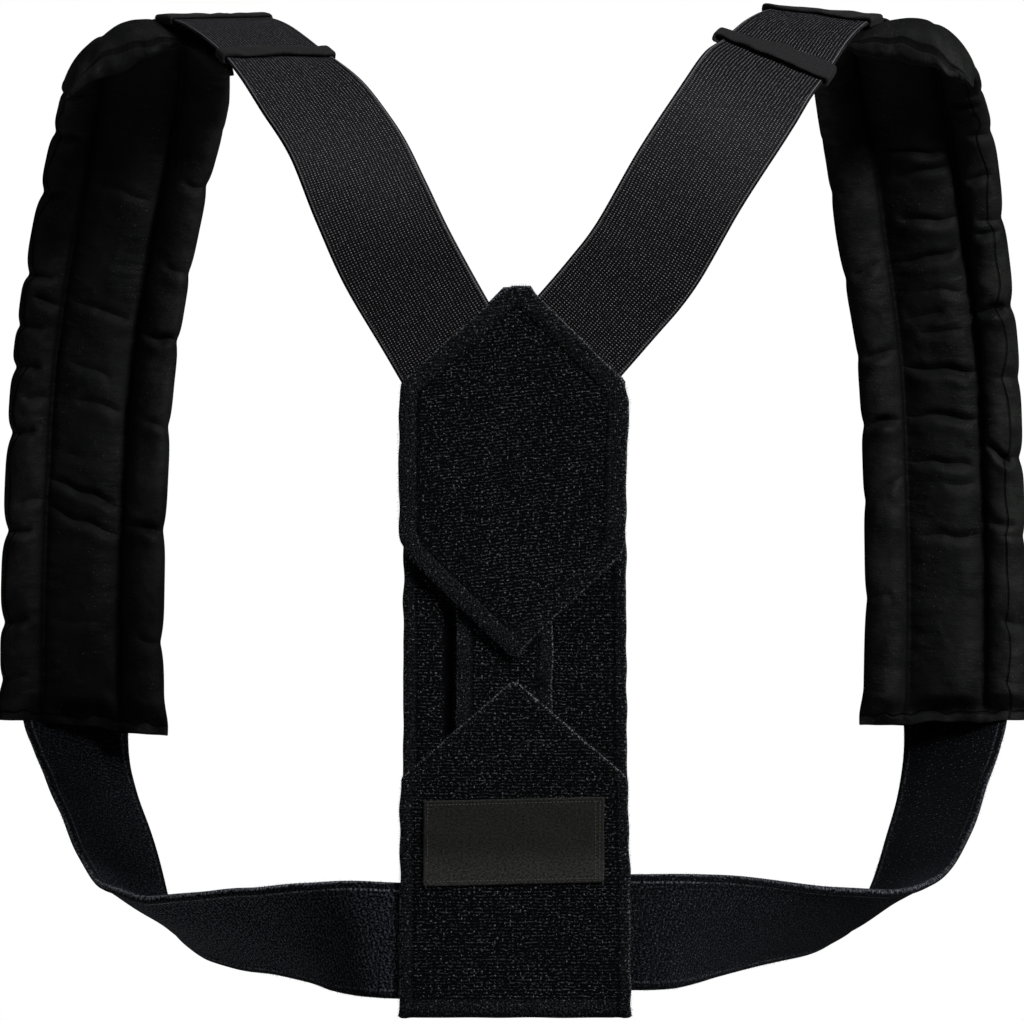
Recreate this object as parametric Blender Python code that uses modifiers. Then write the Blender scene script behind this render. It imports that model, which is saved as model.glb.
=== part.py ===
"""Posture corrector, shown as worn: a folded back panel with two flaps, two elastic
shoulder straps over padded sleeves, and two lower straps that pass under the arms.

Tables are in millimetres and degrees. +Z is up, the wearer faces +Y, and X = 0 is the
middle of the back. The origin lies midway between the shoulders, level with the
underside of the pads where they rest on them.
"""

import math

import bmesh
import bpy
import numpy as np
from mathutils import Vector

MM = 0.001

# Layers of the back, from the body outwards
BODY_FACE_Y = -91.0
GAP = 0.3
PANEL_THICK = 2.0
ELASTIC_THICK = 1.4
LOWER_THICK = 2.0
STRIP_THICK = 1.4
LABEL_THICK = 0.8

PANEL_Y = BODY_FACE_Y - PANEL_THICK / 2
ON_PANEL_Y = BODY_FACE_Y - PANEL_THICK - GAP
ELASTIC_Y = ON_PANEL_Y - ELASTIC_THICK / 2
LOWER_Y = ON_PANEL_Y - LOWER_THICK / 2
STRIP_Y = ON_PANEL_Y - STRIP_THICK / 2
UPPER_FLAP_Y = ON_PANEL_Y - ELASTIC_THICK - GAP - PANEL_THICK / 2
LOWER_FLAP_Y = ON_PANEL_Y - LOWER_THICK - GAP - PANEL_THICK / 2
LABEL_Y = LOWER_FLAP_Y - PANEL_THICK / 2 - GAP - LABEL_THICK / 2

# Heights of the back panel
FOLD_BOTTOM_Z = -427.4
PANEL_TIP_Z = -113.0
PANEL_SHOULDER_Z = -153.0
LOWER_FLAP_SHOULDER_Z = -324.0
LOWER_FLAP_TIP_Z = -283.0
FOLD_RADIUS = (PANEL_Y - LOWER_FLAP_Y) / 2
FOLD_STEPS = 8

# Straps
ELASTIC_WIDTH = 50.0
LOWER_WIDTH = 50.0
STEPS_PER_SPAN = 3
STRAP_COLUMNS = 2

# Pads: three sewn channels, fuller on the side that meets the body
PAD_WIDTH = 77.0
PAD_CHANNELS = (21.5, 35.0, 20.5)
PAD_SEAM_HALF = 1.6
PAD_BODY_RISE = 6.5
PAD_OUTER_RISE = 2.0
PAD_HEM = 5.0
PAD_HEM_HALF = 1.4
CHANNEL_CREST = (0.22, 0.78)
CREST_FULLNESS = 0.95
DROOP_POWER = 3

# Keeper loops round the elastic straps
KEEPER_WALL = 1.2
KEEPER_GAP = 0.6
KEEPER_CORNER = 0.6

# Outlines of the flat sheets: height, then left and right ends of each crosswise line
UPPER_FLAP = (
    (-112.7, -0.5, 6.5),
    (-153.5, -49.3, 47.5),
    (-158.0, -49.5, 49.3),
    (-222.0, -49.5, 49.0),
    (-227.0, -47.5, 48.5),
    (-271.8, -0.5, 6.0),
)
CENTRE_STRIP = (
    (-180.0, -25.0, 16.7),
    (-350.0, -25.0, 16.7),
)
LABEL_PATCH = (
    (-333.7, -38.7, 38.6),
    (-369.6, -38.9, 38.4),
)

# Left and right ends of the back panel: at its tip, down its straight sides, round the
# bottom fold, and at the lower flap's shoulders and tip
PANEL_TIP = (-4.0, 2.0)
PANEL_SIDES = (-47.5, 48.0)
FOLD_SIDES = (-49.5, 50.3)
LOWER_FLAP_SHOULDERS = (-49.0, 49.4)
LOWER_FLAP_TIP = (-1.5, 1.5)

# Path of a strap or pad: its middle, and the direction to its outer edge as a turn
# from +X seen from above and a tilt above the horizontal
PATH_COLUMNS = ("x", "y", "z", "turn", "tilt")

ELASTIC_LEFT = (
    (-22.0, ELASTIC_Y, -150.0, 180.0, -28.0),
    (-37.0, ELASTIC_Y, -124.0, 180.0, -29.0),
    (-51.0, ELASTIC_Y, -98.0, 181.0, -26.0),
    (-61.0, -90.0, -76.0, 189.0, -21.0),
    (-73.4, -77.0, -49.0, 199.0, -15.0),
    (-88.5, -57.0, -27.0, 204.0, -15.0),
    (-105.4, -31.0, -8.0, 211.0, -7.0),
    (-122.3, -8.0, 6.5, 211.0, -5.0),
    (-135.8, 12.0, 12.3, 208.0, -3.0),
    (-147.0, 34.0, 10.0, 204.0, -5.0),
    (-160.0, 60.0, -14.0, 200.0, -7.0),
    (-173.0, 78.0, -52.0, 194.0, -5.0),
    (-184.0, 87.0, -92.0, 188.0, -3.0),
    (-191.5, 89.7, -135.0, 183.0, 0.0),
    (-198.0, 90.5, -240.0, 180.0, 0.0),
    (-199.5, 89.2, -285.0, 180.0, 0.0),
)
ELASTIC_RIGHT = (
    (23.0, ELASTIC_Y, -140.0, 0.0, -42.0),
    (42.0, ELASTIC_Y, -118.0, 0.0, -40.0),
    (56.4, ELASTIC_Y, -99.0, 0.0, -33.0),
    (75.3, -90.0, -66.0, -1.0, -30.0),
    (93.5, -78.0, -38.0, -3.0, -32.0),
    (104.5, -60.0, -21.5, -6.0, -29.0),
    (115.4, -34.0, -9.0, -14.0, -21.0),
    (127.8, -9.0, 6.0, -22.0, -13.0),
    (141.0, 12.0, 14.0, -25.0, -7.0),
    (152.0, 34.0, 11.0, -24.0, -7.0),
    (163.0, 60.0, -13.0, -20.0, -7.0),
    (175.0, 78.0, -50.0, -14.0, -5.0),
    (186.0, 87.0, -92.0, -8.0, -3.0),
    (193.0, 89.7, -135.0, -3.0, 0.0),
    (198.0, 90.5, -240.0, 0.0, 0.0),
    (199.0, 89.2, -285.0, 0.0, 0.0),
)
LOWER_LEFT = (
    (-199.0, 92.6, -258.0, 180.0, 0.0),
    (-199.8, 92.6, -280.0, 180.0, 0.0),
    (-200.5, 92.2, -299.0, 181.0, 0.5),
    (-201.0, 86.5, -318.0, 203.0, 5.0),
    (-195.4, 74.2, -337.0, 215.0, 12.0),
    (-183.6, 50.5, -362.5, 218.0, 14.5),
    (-169.2, 17.0, -387.8, 219.0, 30.0),
    (-145.2, -16.4, -396.4, 229.0, 41.0),
    (-102.9, -54.4, -394.6, 231.0, 58.0),
    (-82.0, -78.0, -394.0, 244.0, 74.0),
    (-67.5, -90.5, -393.6, 262.0, 87.0),
    (-56.0, LOWER_Y, -394.0, 270.0, 90.0),
    (-51.0, LOWER_Y, -394.2, 270.0, 90.0),
    (-32.0, LOWER_Y, -395.0, 270.0, 90.0),
    (-4.0, LOWER_Y, -396.0, 270.0, 90.0),
)
LOWER_RIGHT = (
    (199.0, 92.6, -258.0, 0.0, 0.0),
    (200.0, 92.6, -280.0, 0.0, 0.0),
    (201.8, 93.0, -299.0, 0.0, 0.5),
    (203.2, 86.5, -318.0, -23.0, 6.0),
    (198.0, 74.2, -338.0, -35.0, 14.0),
    (187.8, 50.6, -362.2, -36.0, 16.5),
    (172.4, 16.2, -387.8, -42.0, 29.5),
    (146.4, -16.6, -394.4, -46.0, 41.0),
    (106.1, -52.0, -391.7, -50.0, 55.0),
    (82.0, -78.0, -390.9, -62.0, 73.0),
    (68.0, -90.5, -390.6, -82.0, 86.0),
    (57.0, LOWER_Y, -390.6, -90.0, 90.0),
    (52.0, LOWER_Y, -390.6, -90.0, 90.0),
    (32.0, LOWER_Y, -391.0, -90.0, 90.0),
    (4.0, LOWER_Y, -392.0, -90.0, 90.0),
)

# A pad's row adds how far its two edges droop below its middle
PAD_COLUMNS = PATH_COLUMNS + ("droop",)

PAD_LEFT = (
    (-165.0, -13.0, 1.0, 180.0, -6.0, 18.0),
    (-167.0, 6.0, 4.2, 180.0, -6.0, 18.0),
    (-168.0, 30.0, -1.2, 181.0, -6.0, 14.0),
    (-171.0, 51.4, -20.4, 182.0, -5.0, 9.0),
    (-177.0, 66.4, -45.0, 182.0, -4.0, 5.0),
    (-184.8, 77.0, -80.0, 182.0, -2.0, 3.0),
    (-191.5, 82.0, -118.0, 181.0, 0.0, 2.0),
    (-196.3, 84.0, -160.0, 180.0, 0.0, 1.5),
    (-199.8, 84.0, -235.0, 180.0, 0.0, 1.0),
    (-200.5, 81.5, -308.0, 180.0, 0.0, 1.0),
)
PAD_RIGHT = (
    (168.5, -13.0, 1.0, 0.0, -4.0, 15.0),
    (170.5, 6.0, 4.3, 0.0, -4.0, 15.0),
    (173.4, 30.0, -1.0, -1.0, -4.0, 13.0),
    (178.5, 52.0, -20.0, -2.0, -4.0, 9.0),
    (184.5, 67.0, -45.0, -2.0, -3.0, 5.0),
    (189.8, 77.0, -80.0, -2.0, -2.0, 3.0),
    (194.8, 82.0, -118.0, -1.0, 0.0, 2.0),
    (198.4, 84.0, -160.0, 0.0, 0.0, 1.5),
    (200.5, 84.0, -235.0, 0.0, 0.0, 1.0),
    (200.2, 81.5, -308.0, 0.0, 0.0, 1.0),
)

# Heights of the creases across each pad, from the shoulder down
CREASES_LEFT = (-36.0, -65.0, -104.0, -138.0, -174.0, -212.0, -266.0)
CREASES_RIGHT = (-42.0, -74.0, -104.0, -143.0, -180.0, -220.0, -262.0)
CREASE_FULLNESS = 0.72
CREASE_NARROWING = 0.045

# Keepers: where each starts and ends along its strap, and how far it stands off it
KEEPERS = (
    ("keeper_rear", 181.0, 191.0, 1.0),
    ("keeper_top", 235.0, 247.0, 0.3),
    ("keeper_front", 516.0, 530.0, 0.0),
)
KEEPER_STATIONS = 4

# Colour as linear red, green and blue, then roughness
FINISHES = {
    "loop_velour": ((0.0045, 0.0048, 0.0060), 0.95),
    "strap_velour": ((0.0038, 0.0045, 0.0070), 0.90),
    "elastic_webbing": ((0.0085, 0.0088, 0.0105), 0.70),
    "pad_fabric": ((0.0048, 0.0046, 0.0040), 0.75),
    "keeper_binding": ((0.0085, 0.0080, 0.0078), 0.85),
    "woven_label": ((0.0060, 0.0060, 0.0062), 0.55),
}


def clear_scene():
    """Remove the objects that the scene starts with."""
    for obj in list(bpy.data.objects):
        bpy.data.objects.remove(obj, do_unlink=True)


def finish(name):
    """The Principled BSDF material of one finish, made once."""
    material = bpy.data.materials.get(name)
    if material is None:
        colour, roughness = FINISHES[name]
        material = bpy.data.materials.new(name)
        material.use_nodes = True
        shader = material.node_tree.nodes["Principled BSDF"]
        shader.inputs["Base Color"].default_value = (*colour, 1.0)
        shader.inputs["Roughness"].default_value = roughness
        shader.inputs["Metallic"].default_value = 0.0
    return material


def add_object(name, bm, finish_name, collection, root, location=(0.0, 0.0, 0.0)):
    """Make the mesh an object of the collection, placed in metres under the root."""
    bmesh.ops.recalc_face_normals(bm, faces=bm.faces)
    bmesh.ops.scale(bm, vec=(MM, MM, MM), verts=bm.verts)
    mesh = bpy.data.meshes.new(name)
    bm.to_mesh(mesh)
    bm.free()
    mesh.materials.append(finish(finish_name))
    obj = bpy.data.objects.new(name, mesh)
    obj.location = Vector(location) * MM
    obj.parent = root
    collection.objects.link(obj)
    return obj


def thicken(obj, thickness):
    """Give an open sheet its thickness, half to each side."""
    modifier = obj.modifiers.new("Thickness", "SOLIDIFY")
    modifier.thickness = thickness * MM
    modifier.offset = 0.0
    modifier.use_even_offset = True


def smooth(obj, angle=40.0):
    """Shade the rounded parts smooth and keep the cut edges sharp."""
    obj.data.shade_smooth()
    obj.data.set_sharp_from_angle(angle=math.radians(angle))


def grid(rows_of_points):
    """An open mesh of quads through rows of points."""
    bm = bmesh.new()
    rows = [[bm.verts.new(point) for point in row] for row in rows_of_points]
    for row, below in zip(rows, rows[1:]):
        for i in range(len(row) - 1):
            bm.faces.new((row[i], row[i + 1], below[i + 1], below[i]))
    return bm


def along_curve(rows, steps):
    """The rows read from a smooth curve through them, with steps points to a span."""
    rows = np.array(rows, float)
    padded = np.vstack((2 * rows[0] - rows[1], rows, 2 * rows[-1] - rows[-2]))
    found = []
    for i in range(len(rows) - 1):
        a, b, c, d = padded[i : i + 4]
        for t in np.arange(steps) / steps:
            cubic = 2 * b + (c - a) * t
            cubic = cubic + (2 * a - 5 * b + 4 * c - d) * t**2
            cubic = cubic + (3 * b - a - 3 * c + d) * t**3
            found.append(cubic / 2)
    found.append(rows[-1])
    return np.array(found)


def unit(vectors):
    """The vectors at length 1."""
    return vectors / np.linalg.norm(vectors, axis=-1, keepdims=True)


class Path:
    """Middles, edge directions and outward directions of a strap or pad."""

    def __init__(self, rows, side, steps=STEPS_PER_SPAN):
        found = along_curve(rows, steps)
        column = dict(zip(PAD_COLUMNS, found.T))
        turn = np.radians(column["turn"])
        tilt = np.radians(column["tilt"])
        self.middle = found[:, :3]
        self.droop = column.get("droop")
        forward = unit(np.gradient(self.middle, axis=0))
        level = np.cos(tilt)
        across = np.stack((level * np.cos(turn), level * np.sin(turn), np.sin(tilt)), axis=1)
        across -= forward * (across * forward).sum(axis=1, keepdims=True)
        self.forward = forward
        self.across = unit(across)
        self.outward = side * np.cross(self.across, forward)
        spans = np.linalg.norm(np.diff(self.middle, axis=0), axis=1)
        self.distance = np.concatenate(((0.0,), np.cumsum(spans)))

    def at(self, distance):
        """Middle, across and outward at a distance along the path."""
        found = []
        for values in (self.middle, self.across, self.outward):
            found.append([np.interp(distance, self.distance, values[:, k]) for k in range(3)])
        middle, across, outward = np.array(found)
        return middle, unit(across), unit(outward)


def fold_points():
    """Y and Z round the bottom fold, from the panel to the lower flap."""
    centre_y = (PANEL_Y + LOWER_FLAP_Y) / 2
    centre_z = FOLD_BOTTOM_Z + PANEL_THICK / 2 + FOLD_RADIUS
    found = []
    for angle in np.linspace(0.0, math.pi, FOLD_STEPS + 1):
        y = centre_y + FOLD_RADIUS * math.cos(angle)
        z = centre_z - FOLD_RADIUS * math.sin(angle)
        found.append((y, z))
    return found


def sheet_grid(rows):
    """A grid through the left end, middle and right end of each crosswise line."""
    found = []
    for y, z, left, right in rows:
        found.append([(x, y, z) for x in (left, (left + right) / 2, right)])
    return grid(found)


def build_back_panel(collection, root):
    """The long panel: pointed at the top, folded at the bottom, up into the lower flap."""
    rows = [
        (PANEL_Y, PANEL_TIP_Z, *PANEL_TIP),
        (PANEL_Y, PANEL_SHOULDER_Z, *PANEL_SIDES),
        (PANEL_Y, LOWER_FLAP_TIP_Z, *PANEL_SIDES),
    ]
    rows += [(y, z, *FOLD_SIDES) for y, z in fold_points()]
    rows += [
        (LOWER_FLAP_Y, LOWER_FLAP_SHOULDER_Z, *LOWER_FLAP_SHOULDERS),
        (LOWER_FLAP_Y, LOWER_FLAP_TIP_Z, *LOWER_FLAP_TIP),
    ]
    panel = add_object("back_panel", sheet_grid(rows), "loop_velour", collection, root)
    thicken(panel, PANEL_THICK)
    smooth(panel)


def build_flat_sheets(collection, root):
    """The flat layers that lie on the panel: upper flap, centre strip and label."""
    sheets = (
        ("upper_flap", UPPER_FLAP, UPPER_FLAP_Y, PANEL_THICK, "loop_velour"),
        ("centre_strip", CENTRE_STRIP, STRIP_Y, STRIP_THICK, "loop_velour"),
        ("label_patch", LABEL_PATCH, LABEL_Y, LABEL_THICK, "woven_label"),
    )
    for name, table, y, thickness, finish_name in sheets:
        bm = sheet_grid([(0.0, z, left, right) for z, left, right in table])
        sheet = add_object(name, bm, finish_name, collection, root, (0.0, y, 0.0))
        thicken(sheet, thickness)
        smooth(sheet)


def build_strap(name, path, width, thickness, finish_name, collection, root):
    """A flat strap of constant width along its path."""
    offsets = np.linspace(-width / 2, width / 2, STRAP_COLUMNS + 1)
    rows = [
        [middle + across * offset for offset in offsets]
        for middle, across in zip(path.middle, path.across)
    ]
    strap = add_object(name, grid(rows), finish_name, collection, root)
    thicken(strap, thickness)
    smooth(strap)


def channel_profile():
    """Across positions and fullness, 0 at a seam to 1, from the inner edge to the outer."""
    start = -PAD_WIDTH / 2
    found = [(start, 0.0)]
    for width in PAD_CHANNELS:
        found += [(start + crest * width, CREST_FULLNESS) for crest in CHANNEL_CREST]
        start += width
        found.append((start, 0.0))
    return found


def pad_ring(section, droop, fullness, narrowing):
    """One closed section of a pad: along the body side, then back along the outer side."""
    middle, across, outward = section
    body_side = []
    outer_side = []
    seam = PAD_SEAM_HALF if fullness else PAD_HEM_HALF
    for offset, full in channel_profile():
        spread = abs(offset) / (PAD_WIDTH / 2)
        base = middle + across * offset * (1 - narrowing)
        base = base - outward * droop * spread**DROOP_POWER
        body_side.append(base - outward * (seam + full * fullness * PAD_BODY_RISE))
        outer_side.append(base + outward * (seam + full * fullness * PAD_OUTER_RISE))
    return body_side + outer_side[::-1]


def pad_stations(path, creases):
    """Distance, fullness and narrowing of each ring: hems, swells and the creases between."""
    length = path.distance[-1]
    crest = int(np.argmax(path.middle[:, 2]))
    depths = -path.middle[crest:, 2]
    crossings = [float(np.interp(-z, depths, path.distance[crest:])) for z in creases]
    bounds = [path.distance[crest + 1], *crossings, length - PAD_HEM]
    swells = [(a + b) / 2 for a, b in zip(bounds, bounds[1:])]
    found = [(0.0, 0.0, 0.0), (PAD_HEM, 1.0, 0.0)]
    found += [(distance, 1.0, 0.0) for distance in path.distance[1 : crest + 2]]
    found += [(distance, 1.0, 0.0) for distance in swells]
    found += [(distance, CREASE_FULLNESS, CREASE_NARROWING) for distance in crossings]
    found += [(length - PAD_HEM, 1.0, 0.0), (length, 0.0, 0.0)]
    return sorted(found)


def build_pad(name, rows, creases, side, collection, root):
    """A sleeve of three padded channels, creased across and flat at its two hems."""
    path = Path(rows, side)
    bm = bmesh.new()
    loops = []
    for station, fullness, narrowing in pad_stations(path, creases):
        droop = np.interp(station, path.distance, path.droop)
        ring = pad_ring(path.at(station), droop, fullness, narrowing)
        loops.append([bm.verts.new(point) for point in ring])
    for loop, after in zip(loops, loops[1:]):
        for i in range(len(loop)):
            j = (i + 1) % len(loop)
            bm.faces.new((loop[i], loop[j], after[j], after[i]))
    half = len(loops[0]) // 2
    for loop in (loops[0], loops[-1]):
        for i in range(half - 1):
            bm.faces.new((loop[i], loop[i + 1], loop[-2 - i], loop[-1 - i]))
    pad = add_object(name, bm, "pad_fabric", collection, root)
    soften = pad.modifiers.new("Soft", "SUBSURF")
    soften.levels = 1
    soften.render_levels = 1
    pad.data.shade_smooth()


def keeper_ring(middle, across, outward, half_width, below, above):
    """A rounded rectangle round a strap's section."""
    corner = min(below, above) * KEEPER_CORNER
    outline = (
        (-half_width, -below + corner),
        (-half_width + corner, -below),
        (half_width - corner, -below),
        (half_width, -below + corner),
        (half_width, above - corner),
        (half_width - corner, above),
        (-half_width + corner, above),
        (-half_width, above - corner),
    )
    return [middle + across * u + outward * v for u, v in outline]


def build_keeper(name, path, start, end, proud, collection, root):
    """A fabric loop round an elastic strap."""
    inner_half = ELASTIC_WIDTH / 2 + KEEPER_GAP
    inner_rise = ELASTIC_THICK / 2 + KEEPER_GAP
    bm = bmesh.new()
    inner = []
    outer = []
    for station in np.linspace(start, end, KEEPER_STATIONS):
        section = path.at(station)
        inner.append(keeper_ring(*section, inner_half, inner_rise, inner_rise + proud))
        outer.append(
            keeper_ring(
                *section,
                inner_half + KEEPER_WALL,
                inner_rise + KEEPER_WALL,
                inner_rise + proud + KEEPER_WALL,
            )
        )
    loops = [[bm.verts.new(point) for point in ring] for ring in outer + inner[::-1]]
    loops.append(loops[0])
    for loop, after in zip(loops, loops[1:]):
        for i in range(len(loop)):
            j = (i + 1) % len(loop)
            bm.faces.new((loop[i], loop[j], after[j], after[i]))
    keeper = add_object(name, bm, "keeper_binding", collection, root)
    smooth(keeper)


def build_side(label, side, tables, collection, root):
    """Everything on one shoulder: pad, elastic strap, keepers and lower strap."""
    elastic_rows, lower_rows, pad_rows, creases = tables
    elastic = Path(elastic_rows, side)
    lower = Path(lower_rows, side)
    straps = (
        ("elastic_strap", elastic, ELASTIC_WIDTH, ELASTIC_THICK, "elastic_webbing"),
        ("lower_strap", lower, LOWER_WIDTH, LOWER_THICK, "strap_velour"),
    )
    for name, path, width, thickness, finish_name in straps:
        build_strap(f"{name}_{label}", path, width, thickness, finish_name, collection, root)
    build_pad(f"shoulder_pad_{label}", pad_rows, creases, side, collection, root)
    for name, start, end, proud in KEEPERS:
        build_keeper(f"{name}_{label}", elastic, start, end, proud, collection, root)


def main():
    """Build the posture corrector."""
    clear_scene()
    collection = bpy.data.collections.new("posture_corrector")
    bpy.context.scene.collection.children.link(collection)
    root = bpy.data.objects.new("shoulder_seat", None)
    collection.objects.link(root)
    build_back_panel(collection, root)
    build_flat_sheets(collection, root)
    left = (ELASTIC_LEFT, LOWER_LEFT, PAD_LEFT, CREASES_LEFT)
    right = (ELASTIC_RIGHT, LOWER_RIGHT, PAD_RIGHT, CREASES_RIGHT)
    build_side("left", -1, left, collection, root)
    build_side("right", 1, right, collection, root)


main()
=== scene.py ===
"""Posture corrector, shown as worn: its cloth, padding, stitching and studio light.

Lengths in tables are millimetres and angles are degrees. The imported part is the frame:
+Z is up, the wearer faces +Y, and the camera looks at the back panel along +Y.
"""

import logging
import math
from dataclasses import dataclass, field
from enum import Enum, IntEnum
from typing import Any, Callable, Sequence

import bmesh
import bpy
import numpy as np
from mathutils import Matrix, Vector


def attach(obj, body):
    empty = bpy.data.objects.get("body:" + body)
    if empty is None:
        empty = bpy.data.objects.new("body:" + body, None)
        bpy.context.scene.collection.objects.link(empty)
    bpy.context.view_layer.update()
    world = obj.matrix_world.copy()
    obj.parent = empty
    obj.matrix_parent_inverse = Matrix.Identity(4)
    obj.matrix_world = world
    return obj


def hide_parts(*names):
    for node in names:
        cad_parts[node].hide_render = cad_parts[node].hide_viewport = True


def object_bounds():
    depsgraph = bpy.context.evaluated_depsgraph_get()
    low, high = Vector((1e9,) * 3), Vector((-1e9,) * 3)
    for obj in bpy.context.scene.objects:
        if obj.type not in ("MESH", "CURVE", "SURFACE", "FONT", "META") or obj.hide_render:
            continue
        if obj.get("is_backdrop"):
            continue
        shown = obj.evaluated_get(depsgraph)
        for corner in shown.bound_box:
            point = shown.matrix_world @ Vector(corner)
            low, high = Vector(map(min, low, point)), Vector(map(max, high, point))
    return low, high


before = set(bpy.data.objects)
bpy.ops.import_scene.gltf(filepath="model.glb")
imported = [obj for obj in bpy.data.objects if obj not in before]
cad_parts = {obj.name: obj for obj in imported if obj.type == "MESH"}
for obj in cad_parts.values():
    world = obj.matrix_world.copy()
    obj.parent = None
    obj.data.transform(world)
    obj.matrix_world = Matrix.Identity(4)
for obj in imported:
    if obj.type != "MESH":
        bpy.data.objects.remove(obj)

log = logging.getLogger("posture_corrector")

MM = 0.001
BODY = "root"
CLOTH_UV = "Cloth"
RIM = "rim"
SHADE = "shade"
LEAN = "lean"
SIDE_SEAM = "side_seam"
END_SEAM = "end_seam"
HEM_SEAM = "hem_seam"
GROOVE = "groove"
TACK = "tack"
WORN = "worn"
FOLD = "fold"
CREASE = "crease"
CREASE_DEPTH = "crease_depth"
PAINTED_LIGHT = "nap"
# Where a pad's channels are sewn, in millimetres across it
CHANNEL_SEAMS = (-17.2, 18.0)

Rows = Sequence[Sequence[float]]


# Small shared tools


def linear(hex_colour: str) -> tuple[float, float, float, float]:
    """Turn an sRGB hex colour to linear light.

    Args:
        hex_colour: A colour such as "#1b1c1f".

    Returns:
        Red, green, blue and an alpha of 1.
    """
    found = []
    for i in (1, 3, 5):
        value = int(hex_colour[i : i + 2], 16) / 255
        found.append(value / 12.92 if value <= 0.04045 else ((value + 0.055) / 1.055) ** 2.4)
    return (found[0], found[1], found[2], 1.0)


def add_node(
    tree: bpy.types.NodeTree,
    kind: str,
    settings: dict[str, Any] | None = None,
    inputs: dict[str | int, Any] | None = None,
) -> bpy.types.Node:
    """Add a node with its settings, values and links.

    Args:
        tree: The tree that gets the node.
        kind: Blender's name for the node.
        settings: The node's own properties.
        inputs: A value, or an output socket to link, for each input by name or place.

    Returns:
        The node.
    """
    made = tree.nodes.new(kind)
    for name, value in (settings or {}).items():
        setattr(made, name, value)
    for key, value in (inputs or {}).items():
        if isinstance(value, bpy.types.NodeSocket):
            tree.links.new(value, made.inputs[key])
        else:
            made.inputs[key].default_value = value
    return made


def unit(vectors: np.ndarray) -> np.ndarray:
    """Scale the vectors to length 1."""
    return vectors / np.maximum(np.linalg.norm(vectors, axis=-1, keepdims=True), 1e-12)


def smooth_step(value: np.ndarray | float, low: float, high: float) -> np.ndarray:
    """Rise smoothly from 0 at low to 1 at high."""
    t = np.clip((np.asarray(value, float) - low) / (high - low), 0.0, 1.0)
    return t * t * (3 - 2 * t)


def fall(value: np.ndarray | float, low: float, high: float) -> np.ndarray:
    """Fall smoothly from 1 at low to 0 at high."""
    return 1 - smooth_step(value, low, high)


def rounded(value: np.ndarray | float) -> np.ndarray:
    """Rise in a quarter circle from 0 at 0 to 1 at 1."""
    return np.sqrt(np.clip(1 - (1 - np.clip(value, 0, 1)) ** 2, 0, 1))


def bell(value: np.ndarray | float, width: float) -> np.ndarray:
    """A smooth bump, 1 at 0 and near 0 beyond twice the width."""
    return np.exp(-((np.asarray(value, float) / width) ** 2))


def ripple(a: np.ndarray, b: np.ndarray, size: float, seed: int) -> np.ndarray:
    """A smooth random relief of about -1 to 1.

    Args:
        a: First coordinate in millimetres.
        b: Second coordinate in millimetres.
        size: Size of the relief's features in millimetres.
        seed: Which relief.

    Returns:
        The relief at each point.
    """
    rng = np.random.default_rng(seed)
    total = np.zeros(np.broadcast(a, b).shape)
    for _ in range(7):
        angle = rng.uniform(0, 2 * math.pi)
        pace = rng.uniform(0.6, 1.6) * 2 * math.pi / size
        phase = rng.uniform(0, 2 * math.pi)
        total = total + np.sin(pace * (a * math.cos(angle) + b * math.sin(angle)) + phase)
    return total / 3.2


def curve_through(rows: Rows, steps: int) -> np.ndarray:
    """Read a smooth curve through the rows.

    Args:
        rows: Values of each control point.
        steps: Points to each span.

    Returns:
        The curve's points, one row each.
    """
    table = np.array(rows, float)
    padded = np.vstack((2 * table[0] - table[1], table, 2 * table[-1] - table[-2]))
    found = []
    for i in range(len(table) - 1):
        a, b, c, d = padded[i : i + 4]
        for t in np.arange(steps) / steps:
            cubic = 2 * b + (c - a) * t
            cubic = cubic + (2 * a - 5 * b + 4 * c - d) * t**2
            cubic = cubic + (3 * b - a - 3 * c + d) * t**3
            found.append(cubic / 2)
    found.append(table[-1])
    return np.array(found)


def read_table(x: np.ndarray, rows: Rows) -> np.ndarray:
    """Read a table of places and values at x."""
    return np.interp(x, *np.array(rows, float).T)


def spaced(start: float, end: float, step: float) -> np.ndarray:
    """Evenly spaced values from start to end, about a step apart."""
    return np.linspace(start, end, max(2, round(abs(end - start) / step) + 1))


class Seed(IntEnum):
    """Which random relief each unevenness is; pieces in pairs add their side's sign."""

    PANEL = 11
    UPPER_FLAP = 12
    STRIP = 13
    LABEL = 14
    ELASTIC = 20
    LOWER_STRAP = 30
    PAD_BODY = 40
    LIP_HEIGHT = 47
    LIP_PUSH = 49
    PUCKERS = 50
    PUCKER_STRENGTH = 55
    HEM_EDGE = 61
    HEM_FLUTTER = 62
    REAR_EDGE = 66
    SIDE_SEAM = 71
    HEM_SEAM = 72
    CREASE_PATH = 90


class Side(Enum):
    """The wearer's side, by the sign of X."""

    LEFT = -1
    RIGHT = 1

    @property
    def label(self) -> str:
        """The side's name in the part's nodes."""
        return self.name.lower()


# Meshes


def finish_object(obj: bpy.types.Object, node: str = "") -> None:
    """Hand a finished piece to the frame.

    Args:
        obj: The piece, in place.
        node: The part's node that it stands for, if any.
    """
    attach(obj, BODY)
    if node:
        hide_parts(node)
    log.info("%s: %d faces", obj.name, len(obj.data.polygons))


def link_object(name: str, data: bpy.types.ID) -> bpy.types.Object:
    """Put a mesh, lamp or camera into the scene as an object of this name."""
    obj = bpy.data.objects.new(name, data)
    bpy.context.scene.collection.objects.link(obj)
    return obj


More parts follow.
